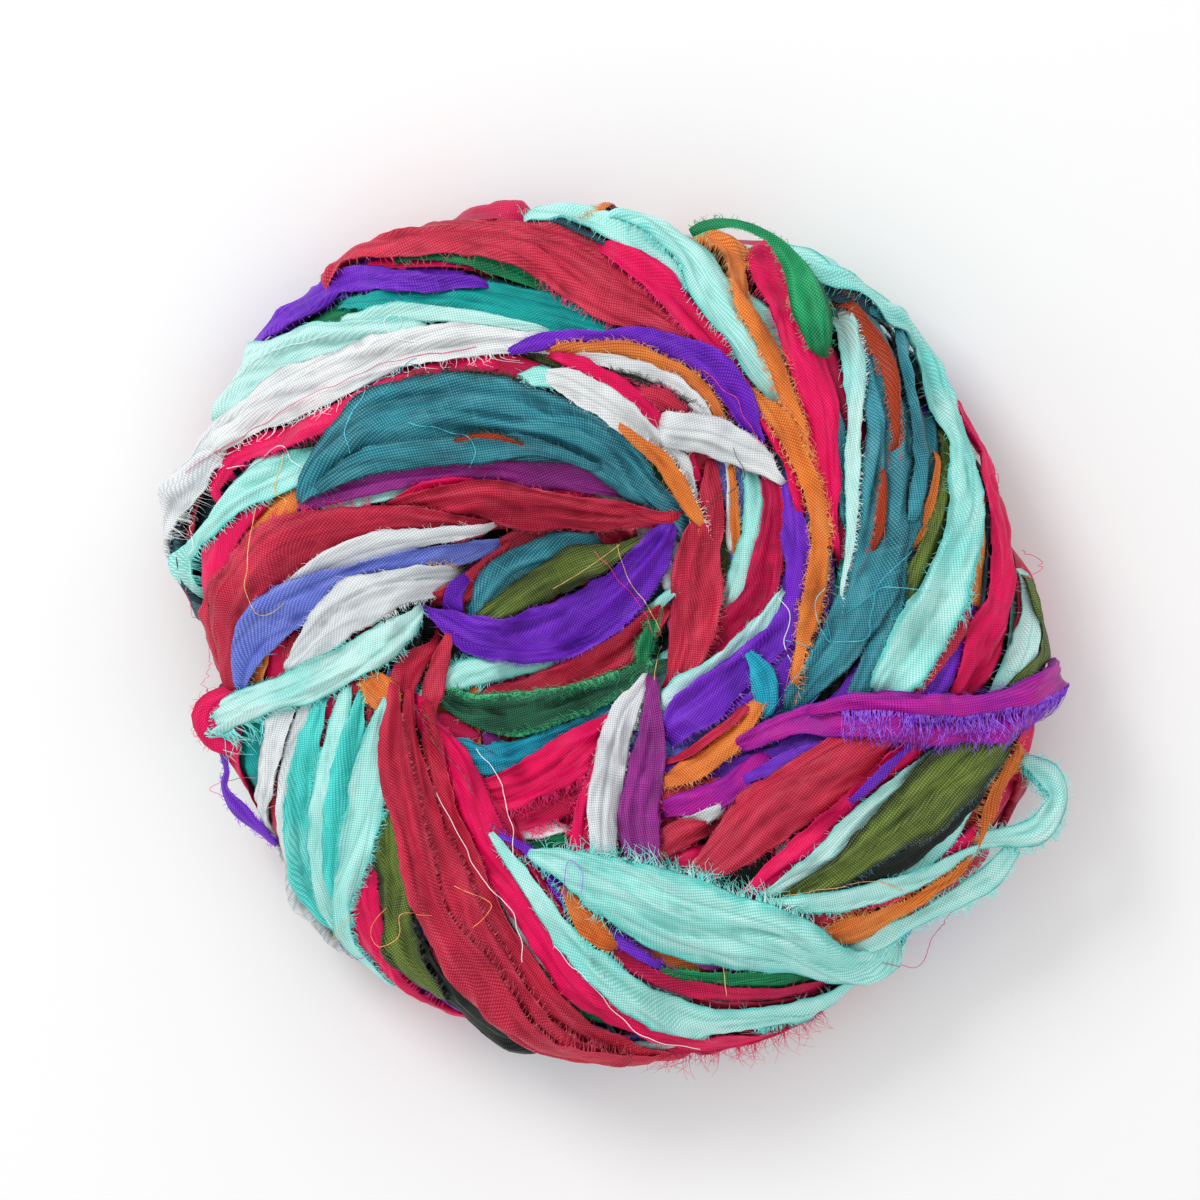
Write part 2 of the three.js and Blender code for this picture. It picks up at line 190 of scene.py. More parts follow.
def polar(length, bearing):
    """Places from their distance and bearing."""
    return np.stack([length * np.cos(bearing), length * np.sin(bearing)], -1)


def resampled(curve, run, places):
    """The curve's columns at places along it, given how far along each of its points is."""
    return np.stack([np.interp(places, run, column) for column in curve.T], -1)


section = spline(SECTION, 24)
section_length = lengths(section)
section_slope = np.gradient(section, axis=0)
rim = int(np.argmax(section[:, 0]))
RIM_LENGTH = section_length[rim]
LAST_LENGTH = section_length[-1]

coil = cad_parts["wound_skein"]
coil_tree = BVHTree.FromPolygons([v.co for v in coil.data.vertices], [p.vertices for p in coil.data.polygons])


def smooth_ring(values, width):
    """Values round the ring, softened over that many neighbours."""
    reach = int(3 * width)
    weights = np.exp(-0.5 * (np.arange(-reach, reach + 1) / width) ** 2)
    rolled = [w * np.roll(values, k) for k, w in zip(range(-reach, reach + 1), weights)]
    return np.sum(rolled, axis=0) / weights.sum()


def outline_at(bearing):
    """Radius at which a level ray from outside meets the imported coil."""
    out = Vector((math.cos(bearing), math.sin(bearing), 0))
    start = Vector((MIDDLE[0] * MM, MIDDLE[1] * MM, OUTLINE_HEIGHT * MM)) + out * OUTLINE_START
    hit = coil_tree.ray_cast(start, -out)[0]
    return (OUTLINE_START - (start - hit).length) / MM


measured = np.array([outline_at(2 * math.pi * k / BEARINGS) for k in range(BEARINGS)])
outline = smooth_ring(measured, OUTLINE_SOFTENING) - CLOTH_DEPTH
print("outline radius from", round(outline.min(), 1), "to", round(outline.max(), 1), "mm")


# %% From the disc to the coil
def widening(bearing):
    """How much wider the coil is at a bearing than its plain section."""
    place = np.mod(bearing / (2 * np.pi), 1) * BEARINGS
    low = place.astype(int) % BEARINGS
    share = place - np.floor(place)
    return (outline[low] * (1 - share) + outline[(low + 1) % BEARINGS] * share) / PLAIN_RADIUS


def skin_point(disc):
    """The point of the plain coil under a place of the disc, and the direction outwards. All in mm."""
    bearing = np.arctan2(disc[..., 1], disc[..., 0])
    length = np.clip(np.hypot(disc[..., 0], disc[..., 1]), 0, LAST_LENGTH)
    reach, height = (np.interp(length, section_length, section[:, k]) for k in (0, 1))
    across, up = (np.interp(length, section_length, section_slope[:, k]) for k in (0, 1))
    wide = widening(bearing)
    size = np.hypot(up, across * wide)
    out, rise = -up / size, across * wide / size
    cos, sin = np.cos(bearing), np.sin(bearing)
    point = np.stack([reach * wide * cos + MIDDLE[0], reach * wide * sin + MIDDLE[1], height], -1)
    return point, np.stack([out * cos, out * sin, rise], -1)


# %% [markdown]
# ## How high the cloth lies
# A height map on the disc holds how far the highest cloth lies over the plain coil. It starts from the
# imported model's twists, measured by rays. Each strip reads it, lies on it, and raises it for the next one,
# so strips cross without running through each other.

# %% Height map
CELL = 0.5  # mm
HALF = LAST_LENGTH + 4
CELLS = int(2 * HALF / CELL) + 1
RAY_CELL = 2.0  # mm
RAY_START = 12.0  # mm outside the plain coil
RAY_BLUR = 1.1  # ray cells
PAST_RIM = 45.0  # mm of skin below the rim that rays reach
LOWEST_TWIST = -8.0  # mm
LOOP_LIMIT = 10.0  # mm: higher hits are slack loops
MOST_HITS = 4  # on slack loops and the coil, for one ray
PAST_HIT = 1e-5  # m that a ray goes on behind a loop's face
START_DEPTH = 6.2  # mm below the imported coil, where the first turns lie
CLOTH_LIFT = 1.0  # mm from what a strip lies on to its middle
SKIN_STEPS = 240  # places from the disc's middle to the rim


def soften_axis(grid, axis, cells, reach):
    """The grid, softened over that many cells along one axis."""
    weights = np.exp(-0.5 * (np.arange(-reach, reach + 1) / cells) ** 2)
    weights /= weights.sum()
    width = [(0, 0), (0, 0)]
    width[axis] = (reach, reach)
    padded = np.pad(grid, width, mode="edge")
    size = grid.shape[axis]
    return sum(w * np.take(padded, range(k, k + size), axis) for k, w in enumerate(weights))


def blur(grid, cells):
    """The grid, softened over that many cells both ways."""
    for axis in (0, 1):
        grid = soften_axis(grid, axis, cells, max(1, int(3 * cells)))
    return grid


def measure_twists():
    """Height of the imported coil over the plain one, on a coarse grid of the disc."""
    side = np.arange(-HALF, HALF + RAY_CELL, RAY_CELL)
    disc = np.stack(np.meshgrid(side, side), -1)
    points, outwards = skin_point(disc)
    heights = np.zeros(disc.shape[:2])
    far = np.hypot(disc[..., 0], disc[..., 1]) > RIM_LENGTH + PAST_RIM
    for i, j in np.argwhere(~far):
        direction = Vector(outwards[i, j])
        start = Vector(points[i, j] * MM) + direction * RAY_START * MM
        travelled = 0.0
        for _ in range(MOST_HITS):
            hit, _, _, distance = coil_tree.ray_cast(start, -direction)
            if hit is None:
                break
            travelled += distance / MM
            if RAY_START - travelled < LOOP_LIMIT:
                break
            start = hit - direction * PAST_HIT
        heights[i, j] = np.clip(RAY_START - travelled, LOWEST_TWIST, LOOP_LIMIT)
    return blur(heights, RAY_BLUR)


def sample(grid, disc, cell):
    """The grid's value at places of the disc."""
    at = (disc + HALF) / cell
    low = np.clip(at.astype(int), 0, np.array(grid.shape[::-1]) - 2)
    share = np.clip(at - low, 0, 1)
    i, j = low[..., 1], low[..., 0]
    top = grid[i, j] * (1 - share[..., 0]) + grid[i, j + 1] * share[..., 0]
    bottom = grid[i + 1, j] * (1 - share[..., 0]) + grid[i + 1, j + 1] * share[..., 0]
    return top * (1 - share[..., 1]) + bottom * share[..., 1]


twists = measure_twists()
fine = np.arange(CELLS) * CELL - HALF
stack = sample(twists, np.stack(np.meshgrid(fine, fine), -1), RAY_CELL) - START_DEPTH
print("twists rise from", round(stack.min(), 1), "to", round(stack.max(), 1), "mm")


def refine(values, axis):
    """The values with one more between each two along an axis."""
    values = np.moveaxis(values, axis, 0)
    out = np.empty((2 * len(values) - 1,) + values.shape[1:])
    out[0::2] = values
    out[1::2] = 0.5 * (values[:-1] + values[1:])
    return np.moveaxis(out, 0, axis)


def raise_stack(disc, height):
    """Raises the height map to this cloth, given as a grid of places and heights."""
    for axis in (0, 1, 0):
        disc, height = refine(disc, axis), refine(height, axis)
    cells = np.clip(np.rint((disc + HALF) / CELL).astype(int), 0, CELLS - 1)
    np.maximum.at(stack, (cells[..., 1].ravel(), cells[..., 0].ravel()), height.ravel())


# %% Places seen from above
def to_disc(places):
    """Places of the disc for places seen from above, and how far each lies beyond the coil's edge."""
    offset = np.asarray(places, float) - MIDDLE
    bearing, reach = np.arctan2(offset[:, 1], offset[:, 0]), np.hypot(offset[:, 0], offset[:, 1])
    run = np.linspace(0, RIM_LENGTH, SKIN_STEPS)
    disc = polar(run, bearing[:, None])
    point, outwards = skin_point(disc)
    seen = point[..., :2] + outwards[..., :2] * (sample(stack, disc, CELL)[..., None] + CLOTH_LIFT) - MIDDLE
    seen = np.maximum.accumulate(np.hypot(seen[..., 0], seen[..., 1]), axis=1)
    length = np.array([np.interp(r, row, run) for r, row in zip(reach, seen)])
    beyond = np.maximum(0, reach - seen[:, -1])
    return polar(length, bearing), beyond


# %% [markdown]
# ## Cloth from numbers
# Crushed silk has a few long pleats, sharp creases between them, a fine crinkle, and an uneven torn edge.
# All of it comes from seeded noise, so the skein is the same each time the script runs.

# %% Seeded noise
LATTICE = np.random.default_rng(7).uniform(-1, 1, (256, 256))


def noise(u, v, seed):
    """Smooth noise from -1 to 1 over two coordinates, one lattice cell to each unit."""
    u = np.asarray(u, float) + 17.3 * (seed % 97)
    v = np.asarray(v, float) + 9.7 * (seed % 89)
    iu, iv = np.floor(u).astype(int), np.floor(v).astype(int)
    fu, fv = u - iu, v - iv
    fu, fv = fu * fu * (3 - 2 * fu), fv * fv * (3 - 2 * fv)
    a, b = LATTICE[iu & 255, iv & 255], LATTICE[(iu + 1) & 255, iv & 255]
    c, d = LATTICE[iu & 255, (iv + 1) & 255], LATTICE[(iu + 1) & 255, (iv + 1) & 255]
    return (a * (1 - fu) + b * fu) * (1 - fv) + (c * (1 - fu) + d * fu) * fv


# %% Folds across a strip
FULL_WIDTH = 8  # mm, from which the folds have their full height
FOLD_EVERY = 4.6  # mm of width to one fold
MOST_FOLDS = 5
FOLD_RISE = 1.15  # mm
FOLD_SIDES = [0.45, 2.0]  # mm that a fold reaches on its steep and its gentle side
FLAP_WIDTHS = (5, 9, 14)  # mm of width from which a strip has one more flap
FLAP_RISE = 1.2  # mm
FLAP_REACH = 3  # mm
FLAP_EDGE = 0.11  # mm
SWELL = 0.35  # mm
CRUMPLE = 0.17  # mm
CRINKLE = 0.15  # mm


def fold_height(along, across, width, seed, crown):
    """Height of a strip's folds over what it lies on. across runs from -1 to 1."""
    rng = np.random.default_rng(seed)
    side = across * width / 2
    taper = np.clip(width / FULL_WIDTH, 0.2, 1)
    height = crown * taper * (1 - np.abs(across) ** 2.4)
    count = int(np.clip(round(width.max() / FOLD_EVERY), 1, MOST_FOLDS))
    for k in range(count):
        middle = -1 + 2 * (k + 0.5 + rng.uniform(-0.3, 0.3)) / count
        middle = middle + (1.1 * noise(along / 28, k + 0.5, seed) + 0.3 * noise(along / 8, k + 3.5, seed)) / count
        away = (across - middle) * width / 2
        steep, gentle = rng.permutation(FOLD_SIDES)
        reach = np.where(away < 0, steep, gentle) * (0.5 + 0.5 * taper)
        strength = np.clip(0.5 + 0.85 * noise(along / 14, k + 9.5, seed + 5), 0.05, 1)
        ridge = np.exp(0.1 - np.sqrt(away ** 2 + 0.012) / reach)
        height = height + FOLD_RISE * taper * strength * ridge
    for k in range(1 + sum(width.max() >= limit for limit in FLAP_WIDTHS)):
        line = rng.uniform(-0.7, 0.7) + 0.5 * noise(along / 20, k + 5.5, seed + 7)
        away = (across - line) * width / 2 * rng.choice([-1, 1])
        strength = np.clip(0.45 + 0.9 * noise(along / 18, k + 7.5, seed + 9), 0, 1)
        flap = np.exp(-np.maximum(away, 0) / FLAP_REACH) / (1 + np.exp(np.clip(-away / FLAP_EDGE, -40, 40)))
        height = height + FLAP_RISE * taper * strength * flap
    swell = 1 - 2 * np.abs(noise(along / 11, side / 3.4, seed + 11))
    crumple = 1 - 2 * np.abs(noise(along / 4.4, side / 1.9, seed + 13))
    height = height + SWELL * taper * swell + CRUMPLE * (0.4 + 0.6 * taper) * crumple
    return height + CRINKLE * noise(along / 3, side / 2.4, seed + 15)


# %% [markdown]
# ## One strip of ribbon
# A strip is a grid: stations along its course and lanes across it. Every point lies on the height map,
# softened along the strip because cloth spans small grooves, and the folds stand on that. An underside of
# a few lanes closes it, so that it is cloth with two faces and an edge.

# %% Laying a strip
STATION = 1.25  # mm along
LANE = 0.5  # mm across
LEAST_WIDTH = 0.8  # mm
CLOTH = 0.3  # mm, with the air between folded layers
GAP = 0.3  # mm between one cloth and the next
BURY = 6.0  # mm that a strip's end dives below the cloth round it
END_DIVE = (7.0, 7.0)  # mm from each end over which it dives
MOST_FILL = 6  # mm of cloth under a strip that reaches beyond the coil
PRESS_FROM = 2.3  # mm above the table, below which cloth is pressed
PRESS_DEPTH = 0.35  # mm
LOWEST = 0.01  # mm above the table


def course_of(points, step):
    """A smooth course with its width, resampled to even steps."""
    curve = spline(points, 30)
    run = lengths(curve)
    stations = max(4, int(round(run[-1] / step)) + 1)
    even = np.linspace(0, run[-1], stations)
    return resampled(curve, run, even), even


def soften(grid, along, across):
    """A strip's heights, softened by that many stations and lanes."""
    for axis, cells in ((0, along), (1, across)):
        grid = soften_axis(grid, axis, cells, int(max(1, round(2.5 * cells))))
    return grid


def press_flat(points):
    """The table pushes up whatever would reach below it."""
    pressed = PRESS_FROM * np.exp(np.minimum(0, points[..., 2] - PRESS_FROM) / PRESS_FROM) - PRESS_DEPTH
    points[..., 2] = np.where(points[..., 2] < PRESS_FROM, np.maximum(pressed, LOWEST), points[..., 2])
    return points


def strip_grid(along, width, lanes):
    """For each point of a strip: where it lies across from -1 to 1, how far along, and the width there."""
    across = np.linspace(-1, 1, lanes + 1)[None, :] * np.ones((len(along), 1))
    return across, along[:, None] * np.ones_like(across), width[:, None] * np.ones_like(across)


def near_edge(across):
    """0 over the middle of a strip, rising to 1 at its edges."""
    return np.clip((np.abs(across) - 0.6) / 0.4, 0, 1)


def lay_strip(disc_points, seed, crown=None, bury=END_DIVE, beyond=None, station=STATION, lane=LANE, relief=1.0):
    """Lays one strip on the coil. disc_points are its course on the disc, each with a width, in mm."""
    beyond = np.zeros(len(disc_points)) if beyond is None else beyond
    course, along = course_of(np.column_stack([disc_points, beyond]), station)
    sway = 0.5 * np.stack([noise(along / 17, 2.5, seed + 61), noise(along / 17, 6.5, seed + 61)], -1)
    centre, width = course[:, :2] + sway, np.maximum(course[:, 2], LEAST_WIDTH)
    ends = [(depth, from_end) for depth, from_end in zip(bury, (along, along[-1] - along)) if depth > 0]
    for depth, from_end in ends:
        width = width * np.clip(0.4 + 0.6 * from_end / depth, 0, 1)
    ahead = unit(np.gradient(centre, axis=0))
    right = np.stack([ahead[:, 1], -ahead[:, 0]], -1)
    across, u, w = strip_grid(along, width, int(np.clip(round(width.max() / lane), 6, 36)))
    side = np.sign(across)
    ragged = 0.65 * noise(u / 10, side * 7, seed + 19) + 0.35 * noise(u / 3.3, side * 5, seed + 21)
    ragged = ragged + 0.2 * noise(u / 0.9, side * 9, seed + 23)
    half = 0.5 * w + ragged * near_edge(across) * np.clip(w / 4, 0.3, 1)
    disc = centre[:, None] + right[:, None] * (across * half)[..., None]

    # the strip spans the grooves below it, and rises over what would poke through
    below = sample(stack, disc, CELL)
    softened = soften(np.maximum(soften(below, 2.6, 2.4), soften(below, 8, 3)), 2, 1)
    base = softened + 1.1 * soften(np.maximum(0, below - softened), 0.9, 0.9)
    crown = 0.2 + 0.04 * width.max() if crown is None else crown
    raised = relief * fold_height(u, across, w, seed, crown)
    flutter = np.abs(across) ** 5 * (0.3 + 0.5 * noise(u / 5, side * 3, seed + 31)) * np.clip(w / FULL_WIDTH, 0, 1)
    outside = soften(np.maximum(course[:, 3], 0)[:, None], 4, 1)
    height = np.maximum(base + GAP + CLOTH + raised + flutter, below + GAP) + outside
    for depth, from_end in ends:
        share = np.clip(1 - from_end / depth, 0, 1)[:, None]
        height = height - (BURY + raised) * share ** 1.4
    raise_stack(disc, height)
    point, outwards = skin_point(disc)
    return {"points": point + outwards * height[..., None], "outwards": outwards, "disc": disc, "height": height,
            "u": u, "side": across * half, "across": across, "right": right, "ahead": ahead, "raised": raised,
            "tint": np.random.default_rng(seed + 41).uniform(0, 1), "fill": np.minimum(outside, MOST_FILL)}


print("a strip has a station every", STATION, "mm and a lane every", LANE, "mm")

# %% Strips to a mesh
UNDER_LANES = (0.9, 0.5, 0.1)  # where the underside's lanes lie, as shares of the width
UNDER_DEPTH = 1.2  # cloths from the top to the underside
BESIDE_SHADE_REACH = 1.3  # mm over which the cloth round a strip is averaged, for painted shade beside higher cloth
FOLD_DEPTH = 0.5  # mm from a fold's mean height to its crest or valley, for full painted highlight and shade
BESIDE_FROM = 0.5  # mm by which cloth beside is higher before painted shade starts
BESIDE_RANGE = 1.3  # mm more, to full painted shade
WEAVE_SLANT = 0.45  # turn of the weave against the ribbon, as torn ribbon twists on its bias
CLOTH_SHIFT = 37.0  # mm between the flat places of two strips
WOUND = {}  # dye: its strips
FRAYED = {}  # dye: its fibres


def closed_rings(strip):
    """Closed rings of points round a strip, with their flat places in mm and how near the edge they are."""
    height, last = strip["height"], strip["across"].shape[1] - 1
    picks = (last * np.array(UNDER_LANES)).round().astype(int)
    stops = [last, *picks, 0]
    dips = np.stack([height[:, stops[k]] - height[:, stops[k + 1]:stops[k - 1] + 1].min(1)
                     for k in range(1, len(stops) - 1)], 1)  # how far the folds dip beside each lane of the underside
    depth = UNDER_DEPTH * CLOTH + strip["fill"] + dips
    under = strip["points"][:, picks] - strip["outwards"][:, picks] * depth[..., None]
    rings = press_flat(np.concatenate([strip["points"], under], 1))
    flat = [np.concatenate([strip[k], strip[k][:, picks]], 1) for k in ("u", "side", "across")]
    return rings * MM, flat[0], flat[1], np.abs(flat[2])


def new_piece(name, points, faces, material, smooth=True):
    """An object of these points and faces with one material."""
    mesh = bpy.data.meshes.new(name)
    mesh.from_pydata(points.tolist(), [], faces)
    mesh.polygons.foreach_set("use_smooth", [smooth] * len(mesh.polygons))
    mesh.materials.append(material)
    piece = bpy.data.objects.new(name, mesh)
    bpy.context.scene.collection.objects.link(piece)
    return piece


def add_flat_places(mesh, **maps):
    """Flat places in mm, one to a point, as uv maps in metres."""
    corners = np.empty(len(mesh.loops), int)
    mesh.loops.foreach_get("vertex_index", corners)
    for label, places in maps.items():
        mesh.uv_layers.new(name=label).data.foreach_set("uv", (places * MM)[corners].ravel())


def painted_shading_of(strip, level):
    """1: full painted shade in a fold's valley or beside higher cloth; -1: painted highlight on a sharp crest."""
    raised = strip["raised"]
    painted_shading = (soften(raised, 2, 2.5) - raised) / FOLD_DEPTH
    if strip["disc"] is not None:
        higher = sample(level, strip["disc"], CELL) - strip["height"]
        beside = np.clip((higher - BESIDE_FROM) / BESIDE_RANGE, 0, 1)
        painted_shading = np.maximum(painted_shading, soften(beside, 1.2, 1.2))
    return np.clip(painted_shading, -1, 1)


def strips_piece(name, strips, material, level):
    """One piece of closed strips, with its flat places and what the silk reads, painted shade and highlight too."""
    points, flat_places, weaves, edges, tints, painted_shadings, faces, start = [], [], [], [], [], [], [], 0
    for strip in strips:
        rings, u, side, edge = closed_rings(strip)
        stations, ring = u.shape
        points.append(rings.reshape(-1, 3))
        flat_places.append(np.stack([side, u], -1).reshape(-1, 2) + [CLOTH_SHIFT * len(points), 0])
        slant = WEAVE_SLANT * (1 if strip["tint"] > 0.4 else -1) + strip["tint"]
        turned = [[math.cos(slant), math.sin(slant)], [-math.sin(slant), math.cos(slant)]]
        weaves.append(flat_places[-1] @ turned)
        edges.append(edge.ravel())
        tints.append(np.full(edge.size, strip["tint"]))
        # the underside gets full painted shade
        painted_shading = np.ones_like(u)
        painted_shading[:, :strip["across"].shape[1]] = painted_shading_of(strip, level)
        painted_shadings.append(painted_shading.ravel())
        i, k = np.meshgrid(np.arange(stations - 1), np.arange(ring), indexing="ij")
        a, b = i * ring + k, i * ring + (k + 1) % ring
        faces += (np.stack([a, b, b + ring, a + ring], -1).reshape(-1, 4) + start).tolist()
        faces.append([start + k for k in range(ring)][::-1])
        faces.append([start + (stations - 1) * ring + k for k in range(ring)])
        start += u.size
    piece = new_piece(name, np.concatenate(points), faces, material)
    add_flat_places(piece.data, cloth=np.concatenate(flat_places), weave=np.concatenate(weaves))
    for label, values in (("edge", edges), ("tint", tints), ("painted_shading", painted_shadings)):
        piece.data.attributes.new(label, "FLOAT", "POINT").data.foreach_set("value", np.concatenate(values))
    return piece


# %% [markdown]
# ## Fibres and threads
# Torn silk sheds fibres along its edges, and some edges carry a whole fringe of pulled threads. Each fibre
# is a thin tapering tube. It starts at the edge, lies over whatever is beside the ribbon, and curls.

# %% Fibres
FIBRE_RADIUS = {3: 0.055, 4: 0.08, 5: 0.11}  # mm, by the points in a fibre
THICKEST = 0.11  # mm, of any longer fibre
FIBRE_TIP = 0.35  # of its thickness is left at a fibre's end
FIBRE_LOWEST = 0.05  # mm above the table
FRINGE_SHARE = 0.45  # of a fringe's fibres are modelled
SPARSE = 3  # points in a fibre of the sparse fray along the ribbons that show
ASKEW = [0.31, 0.17, 0.93]  # a direction that no fibre follows


def tube_piece(name, lines, radius, material, taper):
    """Thin three-sided tubes along lines of points in mm. lines is an array: tubes, points, 3."""
    tubes, steps = lines.shape[:2]
    ahead = unit(np.gradient(lines, axis=1))
    side = unit(np.cross(ahead, ASKEW))
    other = np.cross(ahead, side)
    size = radius * np.linspace(1, taper, steps)[None, :, None, None]
    turn = np.arange(3) * 2 * np.pi / 3
    round_it = np.cos(turn)[:, None] * side[:, :, None] + np.sin(turn)[:, None] * other[:, :, None]
    rings = lines[:, :, None] + size * round_it
    rings[..., 2] = np.maximum(rings[..., 2], FIBRE_LOWEST)
    index = np.arange(tubes * steps * 3).reshape(tubes, steps, 3)
    a, b = index[:, :-1], np.roll(index, -1, 2)[:, :-1]
    c, d = np.roll(index, -1, 2)[:, 1:], index[:, 1:]
    faces = np.stack([a, b, c, d], -1).reshape(-1, 4).tolist()
    faces += index[:, 0, ::-1].tolist() + index[:, -1].tolist()
    return new_piece(name, rings.reshape(-1, 3) * MM, faces, material, smooth=False)


def fibre_shapes(rng, number, length, curl, steps, gather):
    """How far each fibre's points lie outwards, along the edge and up, in mm. gather draws it to its tuft."""
    long = length * rng.uniform(0.35, 1.15, (number, 1))
    t = np.linspace(0, 1, steps)[None]
    bend = rng.normal(0, curl, (number, 1))
    wave = np.sin(t * rng.uniform(2, 6, (number, 1)) + rng.uniform(0, 6, (number, 1))) * curl * 0.25
    outwards = (t * 1.06 - 0.06) * long * (1 - 0.35 * np.minimum(np.abs(bend), 1.5) * t)
    skew = 0.9 if steps == SPARSE else 0.35
    along = long * (rng.normal(0, skew, (number, 1)) * t + 0.6 * bend * t ** 2 + wave * t) + gather * t
    up = long * (0.5 * t * (1 - t) + 0.14 * t) * rng.uniform(0, 1, (number, 1))
    return t[..., None], outwards[..., None], along[..., None], up[..., None]


def fray(strip, side, length, per_mm, seed, dye, start=0.0, end=1.0, curl=0.6, steps=4, tuft=0.0):
    """Fibres from a strip's edge. side is 1 for the right edge and -1 for the left, length and tuft are in mm."""
    rng = np.random.default_rng(seed)
    stations = len(strip["u"])
    share = 1.0 if steps == SPARSE else FRINGE_SHARE
    number = max(1, int(strip["u"][-1, 0] * (end - start) * per_mm * share))
    at = rng.uniform(start, end, number) * (stations - 1)
    place = at * strip["u"][1, 0]
    gather = 0.8 * ((np.floor(place / tuft) + 0.5) * tuft - place)[:, None] if tuft else 0.0
    low = np.clip(at.astype(int), 0, stations - 2)
    past = (at - low)[:, None]
    lane = -1 if side > 0 else 0

    def edge_value(values):
        """Values of the stations, at the fibres' places between them."""
        return (values[low] * (1 - past) + values[low + 1] * past)[:, None]

    t, out, along, up = fibre_shapes(rng, number, length, curl, steps, gather)
    shift = out * side * edge_value(strip["right"]) + along * edge_value(strip["ahead"])
    if strip["disc"] is None:
        lines = edge_value(strip["points"][:, lane]) + shift + up * edge_value(strip["outwards"][:, lane])
    else:
        disc = edge_value(strip["disc"][:, lane]) + shift
        start_height = edge_value(strip["height"][:, lane][:, None])
        leave = (1 - t) ** 2
        height = start_height * leave + (sample(stack, disc, CELL)[..., None] + 0.12 + up) * (1 - leave)
        point, outwards = skin_point(disc)
        lines = point + outwards * height
    FRAYED.setdefault((dye, steps), []).append(lines)


print(FRINGE_SHARE, "of a fringe's fibres are modelled")


# %% [markdown]
# ## Silk
# Sari silk is thin plain weave with a soft sheen. Its colour runs in streaks along the threads, shifts
# where the cloth was dyed unevenly, and often turns to another colour at the frayed edge. Painted shade
# darkens creases, fold valleys, undersides and the gaps between threads; painted highlights lighten crests.

# %% One material for each dye
WEAVE_PITCH = 0.00052  # m from thread to thread
SHADOW = 0.5  # of the darkest dye: painted shade along creases and in fold valleys
THREAD_GAP_SHADE = 0.62  # of the darkest dye: the weave's pattern, with painted shade in the gaps between threads
SILK_FINISH = {"Roughness": 0.46, "Sheen Weight": 0.02, "Sheen Roughness": 0.4, "Specular IOR Level": 0.17}
FIBRE_SCALE = 900  # of a fibre's uneven colour, to the metre
FIBRE_ROUGHNESS = (0.5, 0.7)
FIBRE_SPECULAR = 0.15


def linear(red, green, blue):
    """Colour for a shader from the 0 to 255 values seen on screen."""
    return tuple((c / 255 / 12.92 if c / 255 <= 0.04045 else ((c / 255 + 0.055) / 1.055) ** 2.4)
                 for c in (red, green, blue)) + (1,)


